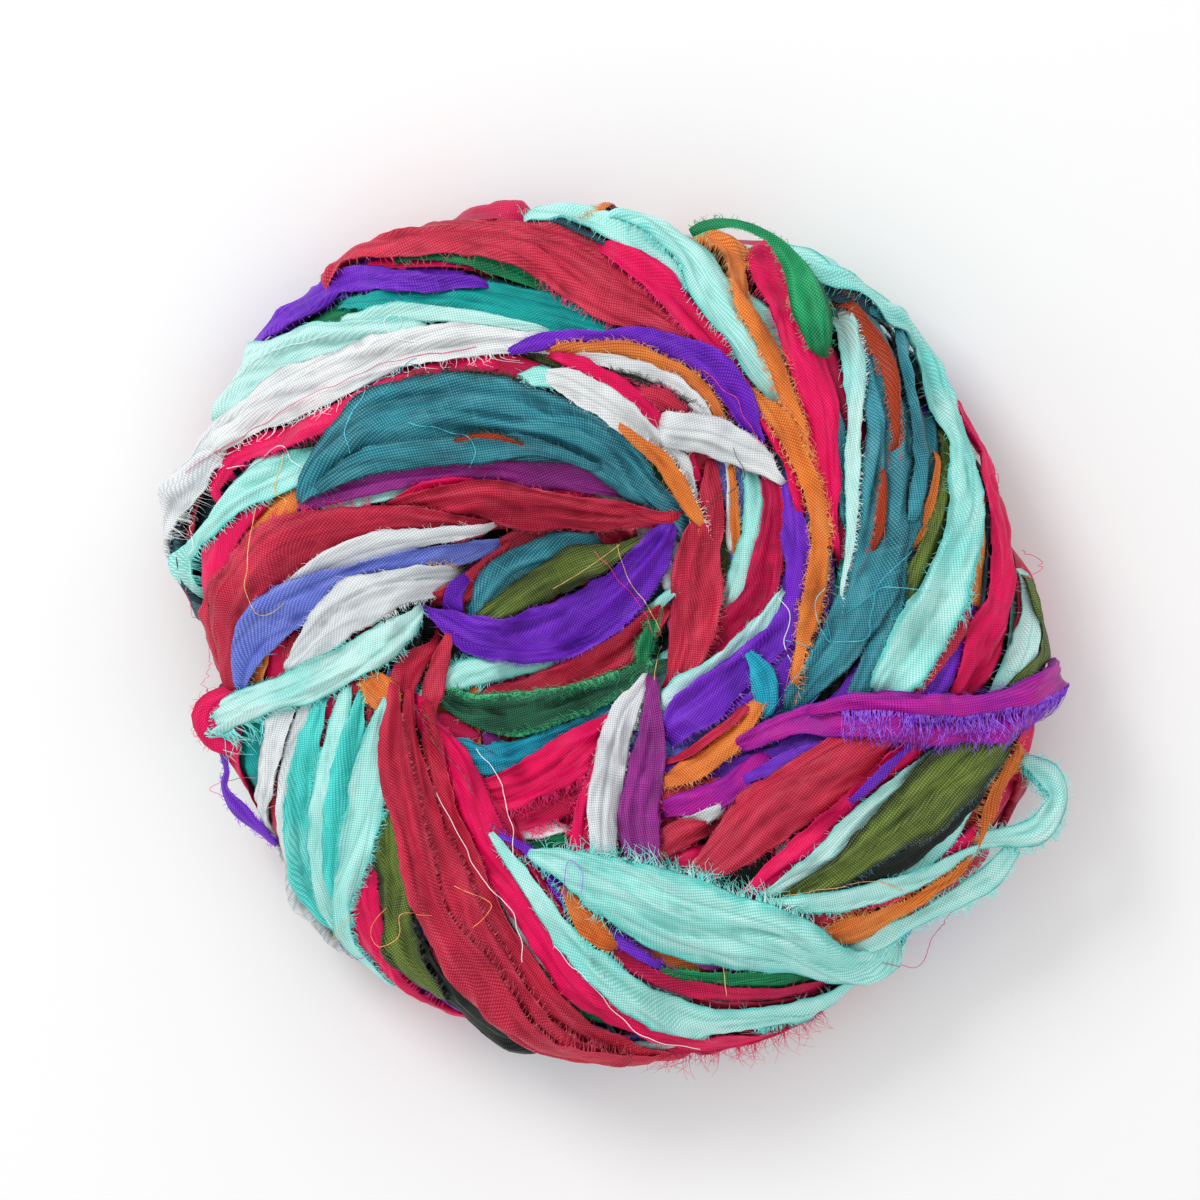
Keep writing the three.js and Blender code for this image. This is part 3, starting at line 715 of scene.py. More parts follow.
def silk(name, body, light, dark, edge=None, patch=None, border_from=1.12):
    """A silk: body colour with lighter and darker streaks, creases, weave, a frayed edge, painted shade and
    highlights.
    """
    material, add, fill = new_material(name)
    places = {label: add("UVMap", {}, "UV", uv_map=label) for label in ("cloth", "weave")}

    def textured(scale, detail, label, place="cloth"):
        """Noise over the cloth's flat places, at its own scale along each axis."""
        spread = add("Mapping", {"Scale": scale, "Vector": places[place]}, "Vector")
        return add("TexNoise", {"Scale": 1, "Detail": detail, "Vector": spread}, "Fac", label=label)

    def maths(operation, *values):
        """One operation on numbers or what other nodes give."""
        return add("Math", dict(enumerate(values)), "Value", operation=operation)

    def between(value, low, high, first, second, most=1.0):
        """The first colour where the value is low, turning to the second where it is high."""
        share = add("MapRange", {"From Min": low, "From Max": high, "To Max": most, "Value": value}, "Result")
        return add("Mix", {0: share, 6: first, 7: second}, 2, data_type="RGBA")

    def attribute(label):
        """What the mesh says of each point."""
        return add("Attribute", {}, "Fac", attribute_name=label)

    def creases(scale, detail, label):
        """0 along the creases and 1 between them."""
        away = maths("ABSOLUTE", maths("SUBTRACT", textured(scale, detail, label), 0.5))
        return maths("MINIMUM", maths("MULTIPLY", away, 7.0), 1.0)

    body, light, dark = linear(*body), linear(*light), linear(*dark)
    colour = between(textured((110, 60, 1), 3, "uneven dye"), 0.36, 0.62, dark, body)
    colour = between(textured((420, 60, 1), 3, "streaks along the ribbon"), 0.5, 0.8, colour, light, 0.6)
    colour = between(attribute("tint"), 0.0, 1.0, colour, light, 0.22)
    if patch is not None:
        colour = between(textured((60, 34, 1), 2, "dyed patches"), 0.57, 0.72, colour, linear(*patch), 0.8)
    border = maths("MULTIPLY_ADD", textured((700, 200, 1), 2, "frayed border"), 0.5, attribute("edge"))
    colour = between(border, border_from, border_from + 0.2, colour, linear(*edge) if edge else light)
    shadow = tuple(SHADOW * c for c in dark[:3]) + (1,)
    long_creases = creases((190, 17, 1), 0, "long creases")
    short_creases = creases((460, 90, 1), 1, "short creases")
    # painted shade along the long creases
    colour = between(long_creases, -0.25, 0.3, shadow, colour)
    # painted shade in fold valleys, beside higher cloth and on the underside
    colour = between(attribute("painted_shading"), 0.05, 1.0, colour, shadow, 0.8)
    # painted highlight on sharp crests
    colour = between(attribute("painted_shading"), -0.1, -0.9, colour, light, 0.45)

    weave = {"Scale": 2 * math.pi / 20 / WEAVE_PITCH, "Distortion": 1.2, "Detail Scale": 0.4,
             "Vector": places["weave"]}
    cloth = maths("MULTIPLY", *[add("TexWave", weave, "Fac", bands_direction=direction) for direction in "XY"])
    slubs = maths("MAXIMUM", textured((2600, 130, 1), 1, "thick threads", "weave"),
                  textured((130, 2600, 1), 1, "thick threads", "weave"))
    # the weave: its own pattern of threads, with painted shade in the gaps between them
    shade_between_threads = tuple(THREAD_GAP_SHADE * c for c in dark[:3]) + (1,)
    dimmed = between(cloth, -0.2, 0.32, shade_between_threads, colour)
    lit = between(slubs, 0.6, 0.8, dimmed, light, 0.25)
    # painted highlight on the tops of the threads, strongest on crests and least in fold valleys
    lit = between(maths("MULTIPLY_ADD", attribute("painted_shading"), -0.3, cloth), 0.35, 0.95, lit, light, 0.6)

    crinkle = textured((1500, 500, 1), 3, "crinkle")
    rise = maths("MULTIPLY_ADD", long_creases, 0.7, maths("MULTIPLY", short_creases, 0.16))
    rise = maths("ADD", rise, maths("MULTIPLY_ADD", cloth, 0.09, maths("MULTIPLY", crinkle, 0.16)))
    rise = maths("MULTIPLY_ADD", slubs, 0.06, rise)
    normal = add("Bump", {"Strength": 0.8, "Distance": 0.0005, "Height": rise}, "Normal")
    fill({"Base Color": lit, "Normal": normal, **SILK_FINISH})
    return material


def fibre(name, body, light, **cloth_only):
    """Loose fibres: a silk's lighter colours, one paled as painted light, and a softer finish, uneven along the
    fibre.
    """
    material, add, fill = new_material(name)
    place = add("TexCoord", {}, "Object")
    uneven = add("TexNoise", {"Scale": FIBRE_SCALE, "Detail": 2, "Vector": place}, "Fac")
    colours = add("ValToRGB", {"Fac": uneven}, "Color")
    # the lighter stop is paled towards white: painted light for light shining through thin fibres
    stops = zip(colours.node.color_ramp.elements, (0.3, 0.62), (body, light), (0.0, 0.2))
    for element, position, colour, pale in stops:
        element.position = position
        element.color = linear(*(c + pale * (255 - c) for c in colour))
    least, most = FIBRE_ROUGHNESS
    rough = add("MapRange", {"To Min": least, "To Max": most, "Value": uneven}, "Result")
    normal = add("Bump", {"Strength": 0.2, "Distance": 0.00002, "Height": uneven}, "Normal")
    fill({"Base Color": colours, "Roughness": rough, "Normal": normal, "Specular IOR Level": FIBRE_SPECULAR})
    return material


DYES = {
    "crimson": dict(body=(214, 30, 68), light=(240, 88, 112), dark=(166, 12, 46)),
    "fuchsia": dict(body=(255, 2, 94), light=(255, 34, 122), dark=(216, 0, 74)),
    "rose": dict(body=(214, 8, 76), light=(244, 50, 112), dark=(164, 2, 58)),
    "mint": dict(body=(184, 248, 240), light=(236, 254, 252), dark=(134, 232, 222), edge=(52, 212, 204),
                 patch=(76, 220, 212), border_from=1.0),
    "pale_mint": dict(body=(206, 249, 244), light=(244, 254, 252), dark=(168, 236, 228), edge=(76, 220, 212),
                      patch=(126, 234, 226), border_from=1.02),
    "teal": dict(body=(0, 172, 166), light=(40, 210, 202), dark=(0, 126, 128)),
    "petrol": dict(body=(38, 142, 162), light=(116, 202, 212), dark=(20, 94, 112), edge=(20, 46, 54),
                   border_from=1.05),
    "navy": dict(body=(24, 64, 80), light=(66, 116, 130), dark=(10, 32, 44)),
    "violet": dict(body=(118, 26, 208), light=(156, 80, 240), dark=(84, 12, 168)),
    "magenta": dict(body=(194, 10, 146), light=(226, 60, 182), dark=(140, 10, 150), edge=(120, 48, 222)),
    "plum": dict(body=(156, 30, 142), light=(192, 80, 180), dark=(110, 12, 104)),
    "periwinkle": dict(body=(104, 126, 232), light=(168, 184, 246), dark=(74, 88, 198)),
    "olive": dict(body=(102, 126, 46), light=(160, 180, 92), dark=(52, 68, 30), edge=(22, 26, 28), border_from=0.92),
    "black": dict(body=(24, 34, 30), light=(66, 78, 66), dark=(8, 14, 14)),
    "emerald": dict(body=(10, 146, 88), light=(56, 192, 126), dark=(2, 100, 60)),
    "darkgreen": dict(body=(26, 90, 68), light=(70, 148, 108), dark=(12, 44, 36), edge=(16, 158, 94)),
    "orange": dict(body=(248, 130, 38), light=(255, 182, 104), dark=(208, 88, 26)),
    "rust": dict(body=(170, 54, 24), light=(206, 86, 44), dark=(112, 26, 12)),
    "silver": dict(body=(236, 241, 243), light=(254, 255, 255), dark=(202, 212, 217)),
    "white": dict(body=(242, 245, 245), light=(254, 255, 255), dark=(214, 221, 224)),
    "cyan": dict(body=(16, 172, 206), light=(74, 216, 234), dark=(6, 124, 160)),
    "turquoise": dict(body=(70, 230, 222), light=(142, 248, 242), dark=(28, 196, 188), patch=(160, 246, 240)),
    "gold": dict(body=(226, 162, 70), light=(244, 204, 126), dark=(184, 122, 38)),
}
SILKS = {dye: silk(dye + "_silk", **colours) for dye, colours in DYES.items()}
FIBRES = {dye: fibre(dye + "_fibre", **colours) for dye, colours in DYES.items()}
print(len(SILKS), "silks")

# %% [markdown]
# ## The dark inside
# Between the ribbons one looks down into shadow and more ribbon. A closed dark core, a little smaller than
# the imported coil, stops light from passing through where the ribbons leave a gap; its black is painted shade.

# %% Core
CORE_SINK = 1.6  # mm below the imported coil
CORE_START = 2  # mm from the disc's middle
CORE_RINGS, CORE_SPOKES = 44, 90


def core_piece():
    """The core: rings round the disc, closed by a fan at the top and one underneath."""
    run = np.linspace(CORE_START, LAST_LENGTH, CORE_RINGS)
    turn = np.linspace(0, 2 * np.pi, CORE_SPOKES, endpoint=False)
    disc = polar(run[:, None], turn)
    point, outwards = skin_point(disc)
    rings = press_flat(point + outwards * (sample(stack, disc, CELL) - CORE_SINK)[..., None])
    points = np.concatenate([rings.reshape(-1, 3), [rings[0].mean(0), rings[-1].mean(0)]]) * MM
    i, k = np.meshgrid(np.arange(CORE_RINGS - 1), np.arange(CORE_SPOKES), indexing="ij")
    a, b = i * CORE_SPOKES + k, i * CORE_SPOKES + (k + 1) % CORE_SPOKES
    faces = np.stack([a, a + CORE_SPOKES, b + CORE_SPOKES, b], -1).reshape(-1, 4).tolist()
    top = CORE_RINGS * CORE_SPOKES
    last = top - CORE_SPOKES
    faces += [[k, (k + 1) % CORE_SPOKES, top] for k in range(CORE_SPOKES)]
    faces += [[last + (k + 1) % CORE_SPOKES, last + k, top + 1] for k in range(CORE_SPOKES)]
    # black silk: painted shade, for the deep inside seen through the gaps
    piece = new_piece("shade_core", points, faces, SILKS["black"])
    flat = np.concatenate([disc.reshape(-1, 2), [[0, 0], [LAST_LENGTH, 0]]])
    add_flat_places(piece.data, cloth=flat, weave=flat)
    return piece


core = core_piece()
print("core has", len(core.data.polygons), "faces")

# %% [markdown]
# ## Turns of ribbon that hold the coil together
# Below the ribbons that show are others, and more wind round the side and underneath. They run the same
# way: they climb outwards over the crown, down the side and under, as a twisted hank does.

# %% Background turns
BACK_PITCH = 7.0  # mm over the skin from one turn to the next
BACK_START, BACK_END = 16.0, LAST_LENGTH - 20
BACK_DYES = ("crimson", "petrol", "fuchsia", "mint", "violet", "crimson", "navy", "orange", "silver", "teal",
             "plum", "olive", "fuchsia", "black", "periwinkle", "pale_mint", "emerald", "rose")
BACK_DIVE = 0.45  # mm outwards for each mm along
BACK_SPAN = (60, 110)  # mm
BACK_TURN = 2.2  # radians that one turn covers at most
BACK_OVERLAP = 16  # mm by which a turn covers the one before
BACK_WIDTH = (8, 12)  # mm
BACK_SHAPE = np.array([0.6, 0.9, 1, 1.05, 1, 0.9, 0.6])  # shares of its width from end to end
BACK_STATION, BACK_LANE = 2.2, 1.0  # mm


def background_course(length, bearing, span, width):
    """A turn on the disc that starts at a bearing and moves outwards as it goes anticlockwise."""
    share = np.linspace(0, 1, len(BACK_SHAPE))
    lengths_out = length + BACK_DIVE * span * (share - 0.5)
    bearings = bearing + span * share / length
    return np.column_stack([polar(lengths_out, bearings), width * BACK_SHAPE])


def lay_background():
    """Rings of turns from the top's middle to the underside. Returns how many turns there are."""
    rng = np.random.default_rng(21)
    laid = 0
    for ring in range(int((BACK_END - BACK_START) / BACK_PITCH) + 1):
        length = BACK_START + ring * BACK_PITCH
        bearing, last = rng.uniform(0, 2 * np.pi), 0.0
        while last < 2 * np.pi:
            span = min(rng.uniform(*BACK_SPAN), BACK_TURN * length)
            width = rng.uniform(*BACK_WIDTH)
            dye = BACK_DYES[rng.integers(len(BACK_DYES))]
            strip = lay_strip(background_course(length, bearing + last, span, width), seed=500 + laid,
                              crown=0.6, relief=0.7, station=BACK_STATION, lane=BACK_LANE)
            WOUND.setdefault(dye, []).append(strip)
            last += (span - BACK_OVERLAP) / length
            laid += 1
    return laid


print(lay_background(), "background turns")

# %% [markdown]
# ## The ribbons that show
# Each line is one ribbon as the photograph shows it, in the order in which they lie: its dye, then its
# course as x, y and folded width in the photograph's pixels. Each slash starts a fringe: the edge it is on,
# where along the ribbon it starts and ends from 0 to 1, its length in mm, its fibres to a mm, its dye, and
# its curl, points in a fibre and mm from tuft to tuft where they aren't the usual ones. Where a ribbon
# passes under another it is simply laid earlier, and its ends dive into the coil.

# %% Reading the lines
GROUPS = {}  # part of the coil: its ribbons, in the order in which they are laid


def fringe(side, start, end, length, per_mm, dye, curl=0.6, steps=4, tuft=0):
    """What fray needs for a fringe, from its words."""
    return dict(side={"left": -1, "right": 1}[side], start=float(start), end=float(end), length=float(length),
                per_mm=float(per_mm), dye=dye, curl=float(curl), steps=int(steps), tuft=float(tuft))


def read_rows(text):
    """The dye, course and fringes on each line. A line may run on below, four spaces in."""
    rows = []
    for line in text.strip().replace("\n    ", " ").splitlines():
        dye, rest = line.split(": ")
        places, *fringes = rest.split(" / ")
        course = np.array([place.split() for place in places.split(", ")], float)
        rows.append((dye, course, [fringe(*words.split()) for words in fringes]))
    return rows


# %% Upper left
GROUPS["upper_left"] = read_rows("""
violet: 256 372 16, 268 344 30, 292 320 38, 322 300 36, 350 292 20
violet: 326 296 14, 360 282 20, 410 276 20, 470 278 12
fuchsia: 324 284 10, 345 273 14, 400 264 15, 480 270 10
emerald: 395 258 12, 430 253 18, 480 263 20, 520 281 16, 565 304 10
teal: 345 306 12, 380 303 22, 430 300 32, 480 302 44, 540 314 46, 600 332 36, 640 346 20
    / left 0.05 0.5 1.8 5 teal
violet: 250 362 14, 262 336 26, 288 312 34, 322 297 36, 360 288 34, 420 283 26, 490 286 12
crimson: 322 278 16, 352 256 32, 400 238 42, 480 234 58, 560 261 72, 620 300 72, 680 335 54, 742 384 28
    / right 0.5 0.9 1.6 3 fuchsia
pale_mint: 340 325 10, 390 319 14, 440 317 16, 490 322 14, 550 336 10
pale_mint: 218 426 18, 230 398 38, 256 371 50, 300 352 42, 350 341 30, 430 331 12 / left 0.1 0.7 1.4 3 turquoise
navy: 188 486 14, 172 520 22, 166 548 22, 173 578 20, 192 604 18, 216 618 12
mint: 372 424 26, 335 450 44, 290 474 44, 245 497 34, 212 524 24, 200 556 16, 192 584 12
    / left 0.4 1 1.6 5 turquoise
black: 282 450 6, 320 440 9, 365 426 8
fuchsia: 226 492 14, 242 459 24, 290 439 28, 340 421 28, 385 398 26, 440 377 24, 500 363 18
    / right 0.1 0.8 1.4 4 fuchsia
white: 168 500 26, 205 452 36, 246 424 40, 300 400 48, 360 378 42, 400 364 36, 450 353 32, 520 346 24,
    590 342 12 / right 0 0.8 3 2.5 white 1.6 / left 0.1 0.5 2 1.5 white 1.6
silver: 160 556 12, 163 534 20, 172 508 30, 190 482 34, 216 460 20 / right 0 0.9 1.6 3 white 1.8
    / left 0 1 1.8 5 white 1.2
""")
print(len(GROUPS["upper_left"]), "ribbons")

# %% Middle left
GROUPS["middle_left"] = read_rows("""
crimson: 226 680 16, 217 650 24, 214 610 24, 230 572 22
mint: 318 512 6, 352 502 18, 392 493 14, 440 487 12, 485 482 8
plum: 300 518 6, 325 500 12, 350 489 18, 400 477 20, 450 471 26, 500 468 34, 540 471 34, 580 476 28, 640 496 14
black: 352 440 8, 380 408 12, 420 391 12, 470 384 12, 520 389 12, 570 404 10 / left 0.1 1 1.6 6 black 1
petrol: 304 502 8, 322 480 28, 345 458 48, 380 436 68, 420 424 72, 460 420 72, 520 424 74, 580 441 66,
    630 475 52, 670 510 40, 688 542 22 / left 0.3 0.95 1.8 6 black 0.8
petrol: 322 492 8, 370 466 22, 430 456 26, 490 450 26, 540 452 20, 600 470 10
rust: 454 444 2, 478 438 5, 502 441 5, 526 449 2 / left 0 1 1.2 8 black 1.2
fuchsia: 395 506 8, 430 494 18, 470 488 18, 500 492 10
crimson: 392 512 14, 430 503 28, 480 498 40, 530 509 52, 580 514 46, 630 512 34, 676 520 14
    / right 0.35 0.95 2.4 9 crimson 0.9
crimson: 234 690 18, 237 655 40, 240 618 50, 264 574 58, 310 546 52, 380 530 40, 440 525 32, 492 527 16
    / left 0.35 0.7 2.6 7 rose 0.8
silver: 286 610 8, 305 586 20, 335 564 26, 375 549 26, 430 538 20, 492 528 12
periwinkle: 245 690 12, 254 658 26, 278 626 36, 316 599 36, 362 579 28, 410 563 22, 455 553 24, 505 542 12
silver: 292 672 12, 320 640 30, 350 612 40, 390 592 38, 430 583 32, 458 577 22 / right 0.55 1 2.6 8 white 0.7
    / left 0.8 1 1.6 8 gold 1
crimson: 440 598 14, 470 584 20, 486 566 20, 512 544 12
""")
print(len(GROUPS["middle_left"]), "ribbons")

# %% Top and right
GROUPS["top_and_right"] = read_rows("""
petrol: 744 262 10, 775 268 18, 806 280 20, 836 296 16
mint: 728 240 8, 756 248 18, 788 258 22, 820 272 22, 850 288 18
navy: 556 222 8, 600 240 14, 650 272 12
mint: 524 216 12, 570 217 22, 615 233 28, 655 262 24, 682 296 14 / left 0 0.5 1.6 5 turquoise 0.8
fuchsia: 600 246 12, 650 283 26, 686 320 30, 724 362 24, 765 405 14 / right 0 0.8 1.8 4 rose 1
navy: 834 290 10, 862 302 18, 888 332 20, 903 372 20, 911 415 20, 908 470 12
petrol: 925 414 14, 926 470 26, 912 520 26, 899 560 26, 886 622 26, 862 684 16
olive: 938 430 12, 942 470 22, 934 508 24, 922 548 28, 905 594 28, 892 652 14
orange: 934 455 6, 931 490 8, 921 520 8, 908 548 6
fuchsia: 945 398 8, 966 424 16, 982 454 22, 991 486 32, 1000 522 42, 1002 562 52, 996 604 56, 980 650 54,
    950 704 30 / left 0.05 0.6 1.6 4 fuchsia 0.9
pale_mint: 1024 572 8, 1030 620 20, 1022 662 27, 994 702 16
olive: 1030 578 8, 1043 612 18, 1043 648 18, 1026 674 15, 1002 696 10
crimson: 962 584 10, 951 628 18, 930 662 18, 902 700 12
petrol: 902 396 12, 907 450 26, 901 500 30, 891 550 30, 881 600 28, 868 652 26, 846 704 18
petrol: 828 396 10, 837 440 18, 839 482 18, 843 526 10
petrol: 842 312 14, 860 352 28, 870 395 36, 875 445 40, 875 495 46, 870 545 50, 860 594 50, 840 642 46,
    812 676 36, 786 710 18 / right 0.5 1 2 3 cyan 1.3
rust: 846 304 6, 864 324 12, 880 352 14, 888 386 11, 891 420 7, 890 450 5 / left 0 1 1.6 8 rust 1.6
    / right 0 1 1.3 6 rust 1.6
rust: 880 470 4, 878 500 8, 874 528 9, 866 552 5 / right 0 1 1 8 rust 1.6
petrol: 868 310 10, 890 332 20, 904 366 24, 912 410 24, 914 460 18, 906 520 12
pale_mint: 836 322 12, 845 368 22, 849 410 20, 848 452 18, 847 492 12, 846 540 8, 838 596 4
    / left 0.1 1 0.9 6 white
mint: 800 264 8, 830 276 14, 862 290 20, 892 312 28, 915 347 30, 931 382 28, 945 414 32, 957 447 32, 959 484 32,
    954 524 34, 944 564 42, 924 606 48, 903 646 46, 874 692 30 / left 0.12 0.95 1.6 7 turquoise 0.9
    / left 0.66 0.8 3.2 12 turquoise 0.7
mint: 610 212 18, 650 224 32, 688 250 44, 712 290 46, 735 330 42, 762 375 30, 788 420 22, 804 458 16, 812 490 10
    / right 0.1 0.6 1.3 4 turquoise
fuchsia: 757 256 26, 779 302 40, 797 347 40, 808 385 40, 815 422 38, 818 462 30, 822 502 20, 832 552 10
    / right 0.1 0.9 1.2 4 rose
orange: 700 230 12, 728 261 22, 742 300 24, 758 336 22, 774 370 20, 786 402 17, 796 432 14, 806 466 10
    / left 0 1 1.8 8 orange 1.3 / right 0 1 1.4 5 orange 1.3
orange: 598 212 6, 622 205 10, 650 208 6 / left 0 1 3 9 orange 1
""")
print(len(GROUPS["top_and_right"]), "ribbons")

# %% Inner coil
GROUPS["inner_coil"] = read_rows("""
white: 724 456 8, 729 500 12, 727 552 8
orange: 727 466 6, 730 508 9, 736 548 9, 733 572 6 / left 0 1 0.8 6 gold 1.4
mint: 743 464 12, 752 498 26, 752 534 27, 742 570 27, 730 600 22, 716 630 10
rose: 764 462 12, 773 508 24, 768 560 29, 757 600 33, 732 630 38, 702 658 38, 670 688 22
crimson: 710 464 14, 709 516 32, 701 560 50, 697 602 58, 690 642 46, 674 684 20 / left 0.5 1 1.4 5 crimson 1
pale_mint: 776 594 8, 762 626 18, 738 652 22, 708 678 28, 682 695 30, 662 710 16
violet: 781 482 12, 793 528 27, 798 570 31, 794 604 29, 779 634 28, 753 660 30, 722 690 38, 694 715 42,
    666 738 24 / left 0.35 1 1.8 6 violet 0.9
fuchsia: 734 382 8, 760 420 14, 785 465 16, 797 512 10 / left 0 1 1.6 6 magenta 1.2
orange: 743 392 8, 770 420 15, 790 450 18, 806 484 20, 815 522 20, 815 562 20, 808 604 18, 799 646 13, 790 684 8
    / left 0 1 1.8 7 orange 1.3 / right 0 1 1.5 5 orange 1.3
""")
print(len(GROUPS["inner_coil"]), "ribbons")

# %% Middle
GROUPS["middle"] = read_rows("""
petrol: 476 616 12, 492 582 28, 520 562 30, 556 551 28, 600 543 16
olive: 476 622 12, 510 602 34, 548 580 44, 588 562 38, 620 546 22, 650 532 10 / right 0.1 0.9 1 5 black
black: 410 668 12, 440 652 26, 470 662 22, 500 676 10
rose: 424 722 12, 452 726 22, 480 740 14
cyan: 432 738 14, 470 752 30, 502 754 32, 542 745 28, 582 727 22, 632 692 12 / right 0 0.8 1.2 5 cyan
emerald: 520 846 8, 550 838 16, 582 836 8 / left 0 1 1.6 10 emerald 1.4
white: 516 834 8, 545 828 14, 572 826 8
rose: 484 824 14, 530 814 30, 570 800 34, 606 776 20 / right 0 1 3 10 fuchsia 1.2
fuchsia: 452 784 14, 484 792 32, 522 783 46, 566 762 48, 622 720 24 / right 0.2 0.9 2.8 9 fuchsia 1.2
mint: 420 700 14, 440 684 30, 470 672 30, 520 665 22, 560 661 16, 602 648 12, 640 618 12, 668 596 10
    / left 0 0.3 2.2 9 turquoise / right 0 0.3 2 6 turquoise
crimson: 484 694 12, 540 684 34, 580 670 38, 620 646 40, 656 612 22 / right 0 0.35 1.2 10 gold 1.5
darkgreen: 442 692 14, 478 711 36, 520 717 42, 562 709 36, 602 694 26, 656 668 14
    / left 0.02 0.8 -2.6 14 emerald 1.3 / left 0 0.9 1.8 8 emerald 1.3 / right 0.3 0.8 -2.4 9 emerald 1.3
emerald: 640 668 8, 644 646 14, 650 624 8 / left 0 1 1.8 12 emerald 1.5 / right 0 1 1.8 12 emerald 1.5
violet: 470 578 8, 456 592 20, 448 608 24, 452 622 14
violet: 430 612 14, 446 624 34, 478 637 50, 522 640 57, 572 626 57, 620 594 55, 650 560 44, 670 526 22
    / right 0.2 0.9 1 5 violet
cyan: 742 652 8, 758 672 22, 764 700 22, 750 720 10
orange: 656 782 10, 700 765 29, 730 742 30, 756 702 14 / right 0 1 1.2 5 orange 1.3
crimson: 658 760 8, 700 745 14, 745 704 10
magenta: 660 810 14, 700 798 28, 730 782 30, 762 750 18
violet: 740 776 10, 780 762 18, 830 742 12
silver: 660 832 8, 690 822 14, 720 808 8
crimson: 648 856 12, 676 836 26, 706 826 14
fuchsia: 606 744 14, 592 798 32, 584 836 34, 574 864 18 / right 0.2 1 2.2 10 fuchsia 1.3
silver: 646 672 10, 624 710 26, 609 760 32, 602 804 38, 604 858 26 / left 0.1 1 0.8 4 white
plum: 651 674 12, 652 720 24, 648 768 32, 640 806 40, 640 842 38, 648 870 18
""")
print(len(GROUPS["middle"]), "ribbons")

# %% Upper middle
GROUPS["upper_middle"] = read_rows("""
violet: 510 354 10, 550 345 16, 600 343 18, 650 349 24, 700 368 28, 730 396 26, 748 430 20, 766 466 14
    / right 0.2 1 1.8 5 magenta 1
orange: 552 355 8, 585 353 13, 620 355 16, 652 365 18, 684 382 20, 704 402 18, 718 428 14, 728 452 10
    / left 0.1 1 1.4 6 orange 1.2
white: 575 361 8, 610 365 17, 650 377 18, 682 394 18, 704 418 14, 716 444 10
black: 606 377 6, 640 386 10, 688 412 8 / left 0 1 1.6 9 black 0.8
fuchsia: 552 360 8, 582 370 17, 614 389 22, 642 411 24, 664 434 24, 682 456 20, 696 482 12
crimson: 640 394 8, 664 404 18, 688 424 16 / left 0 1 1.5 8 rose 1.4
mint: 524 385 15, 545 384 18, 566 389 16
white: 545 382 14, 572 389 28, 604 406 32, 642 434 28, 678 466 20, 694 494 12
orange: 618 428 6, 640 446 14, 660 464 21, 678 484 23, 692 506 18, 698 526 8 / left 0 1 1.2 6 white 0.9
""")
print(len(GROUPS["upper_middle"]), "ribbons")

# %% Lower left
GROUPS["lower_left"] = read_rows("""
silver: 314 696 10, 300 740 24, 288 792 24, 290 850 22, 304 908 12
silver: 298 694 14, 277 742 36, 266 785 32, 268 830 27, 283 880 19, 308 924 14, 348 956 8
turquoise: 330 696 12, 316 760 30, 308 800 33, 306 850 32, 316 890 28, 342 934 14 / right 0.1 1 1.2 5 turquoise
mint: 350 686 14, 338 760 36, 329 820 38, 326 870 33, 334 906 26, 350 940 12 / right 0.1 1 1.1 5 turquoise
fuchsia: 380 826 12, 364 870 38, 365 905 44, 376 942 44, 400 976 38, 440 1006 24, 500 1040 14, 566 1060 8
    / right 0.1 0.9 2 5 fuchsia 1 / left 0.05 0.6 1.6 5 fuchsia 1
violet: 420 880 8, 440 930 15, 460 976 10 / left 0 1 1.6 7 violet 1
cyan: 446 940 10, 472 972 25, 492 996 26, 522 1026 12
black: 414 886 12, 415 930 28, 431 964 32, 460 1000 32, 500 1030 27, 540 1048 12
olive: 386 788 10, 396 840 40, 403 880 42, 402 912 32, 412 950 34, 442 994 14 / left 0.3 1 1.4 5 black
turquoise: 364 690 10, 350 770 26, 341 830 26, 337 872 20, 342 908 10
crimson: 434 644 10, 416 664 28, 406 690 26, 402 716 12
white: 392 700 10, 388 716 22, 386 736 12
orange: 368 668 14, 382 684 34, 392 700 30, 396 712 10 / right 0 1 1.2 5 gold
mint: 390 700 14, 378 762 38, 368 822 38, 354 864 32, 344 904 22, 351 946 16, 388 984 8
    / left 0.1 1 1.8 9 turquoise 0.8
crimson: 450 636 8, 442 658 18, 434 686 24, 430 716 18, 432 748 10
rose: 458 750 10, 500 820 24, 545 900 28, 590 965 30, 650 1015 28, 720 1036 14
fuchsia: 424 700 12, 462 776 38, 500 850 46, 540 916 50, 590 985 52, 650 1026 46, 720 1042 32, 800 1030 12
    / right 0.72 1 5.4 9 rose 0.8 / left 0.1 0.8 1.2 4 rose
crimson: 428 700 10, 442 780 24, 470 860 28, 506 930 30, 552 1000 34, 610 1040 28, 690 1056 12
    / right 0.6 1 2.6 6 rose 0.9
crimson: 412 690 10, 418 770 26, 446 852 30, 480 930 32, 525 1000 36, 580 1044 28, 656 1060 10
    / left 0.1 0.9 1 5 crimson
crimson: 398 684 12, 398 760 28, 420 846 32, 452 928 34, 498 1000 36, 548 1042 32, 630 1060 14
    / left 0.1 0.9 1 5 crimson
""")
print(len(GROUPS["lower_left"]), "ribbons")

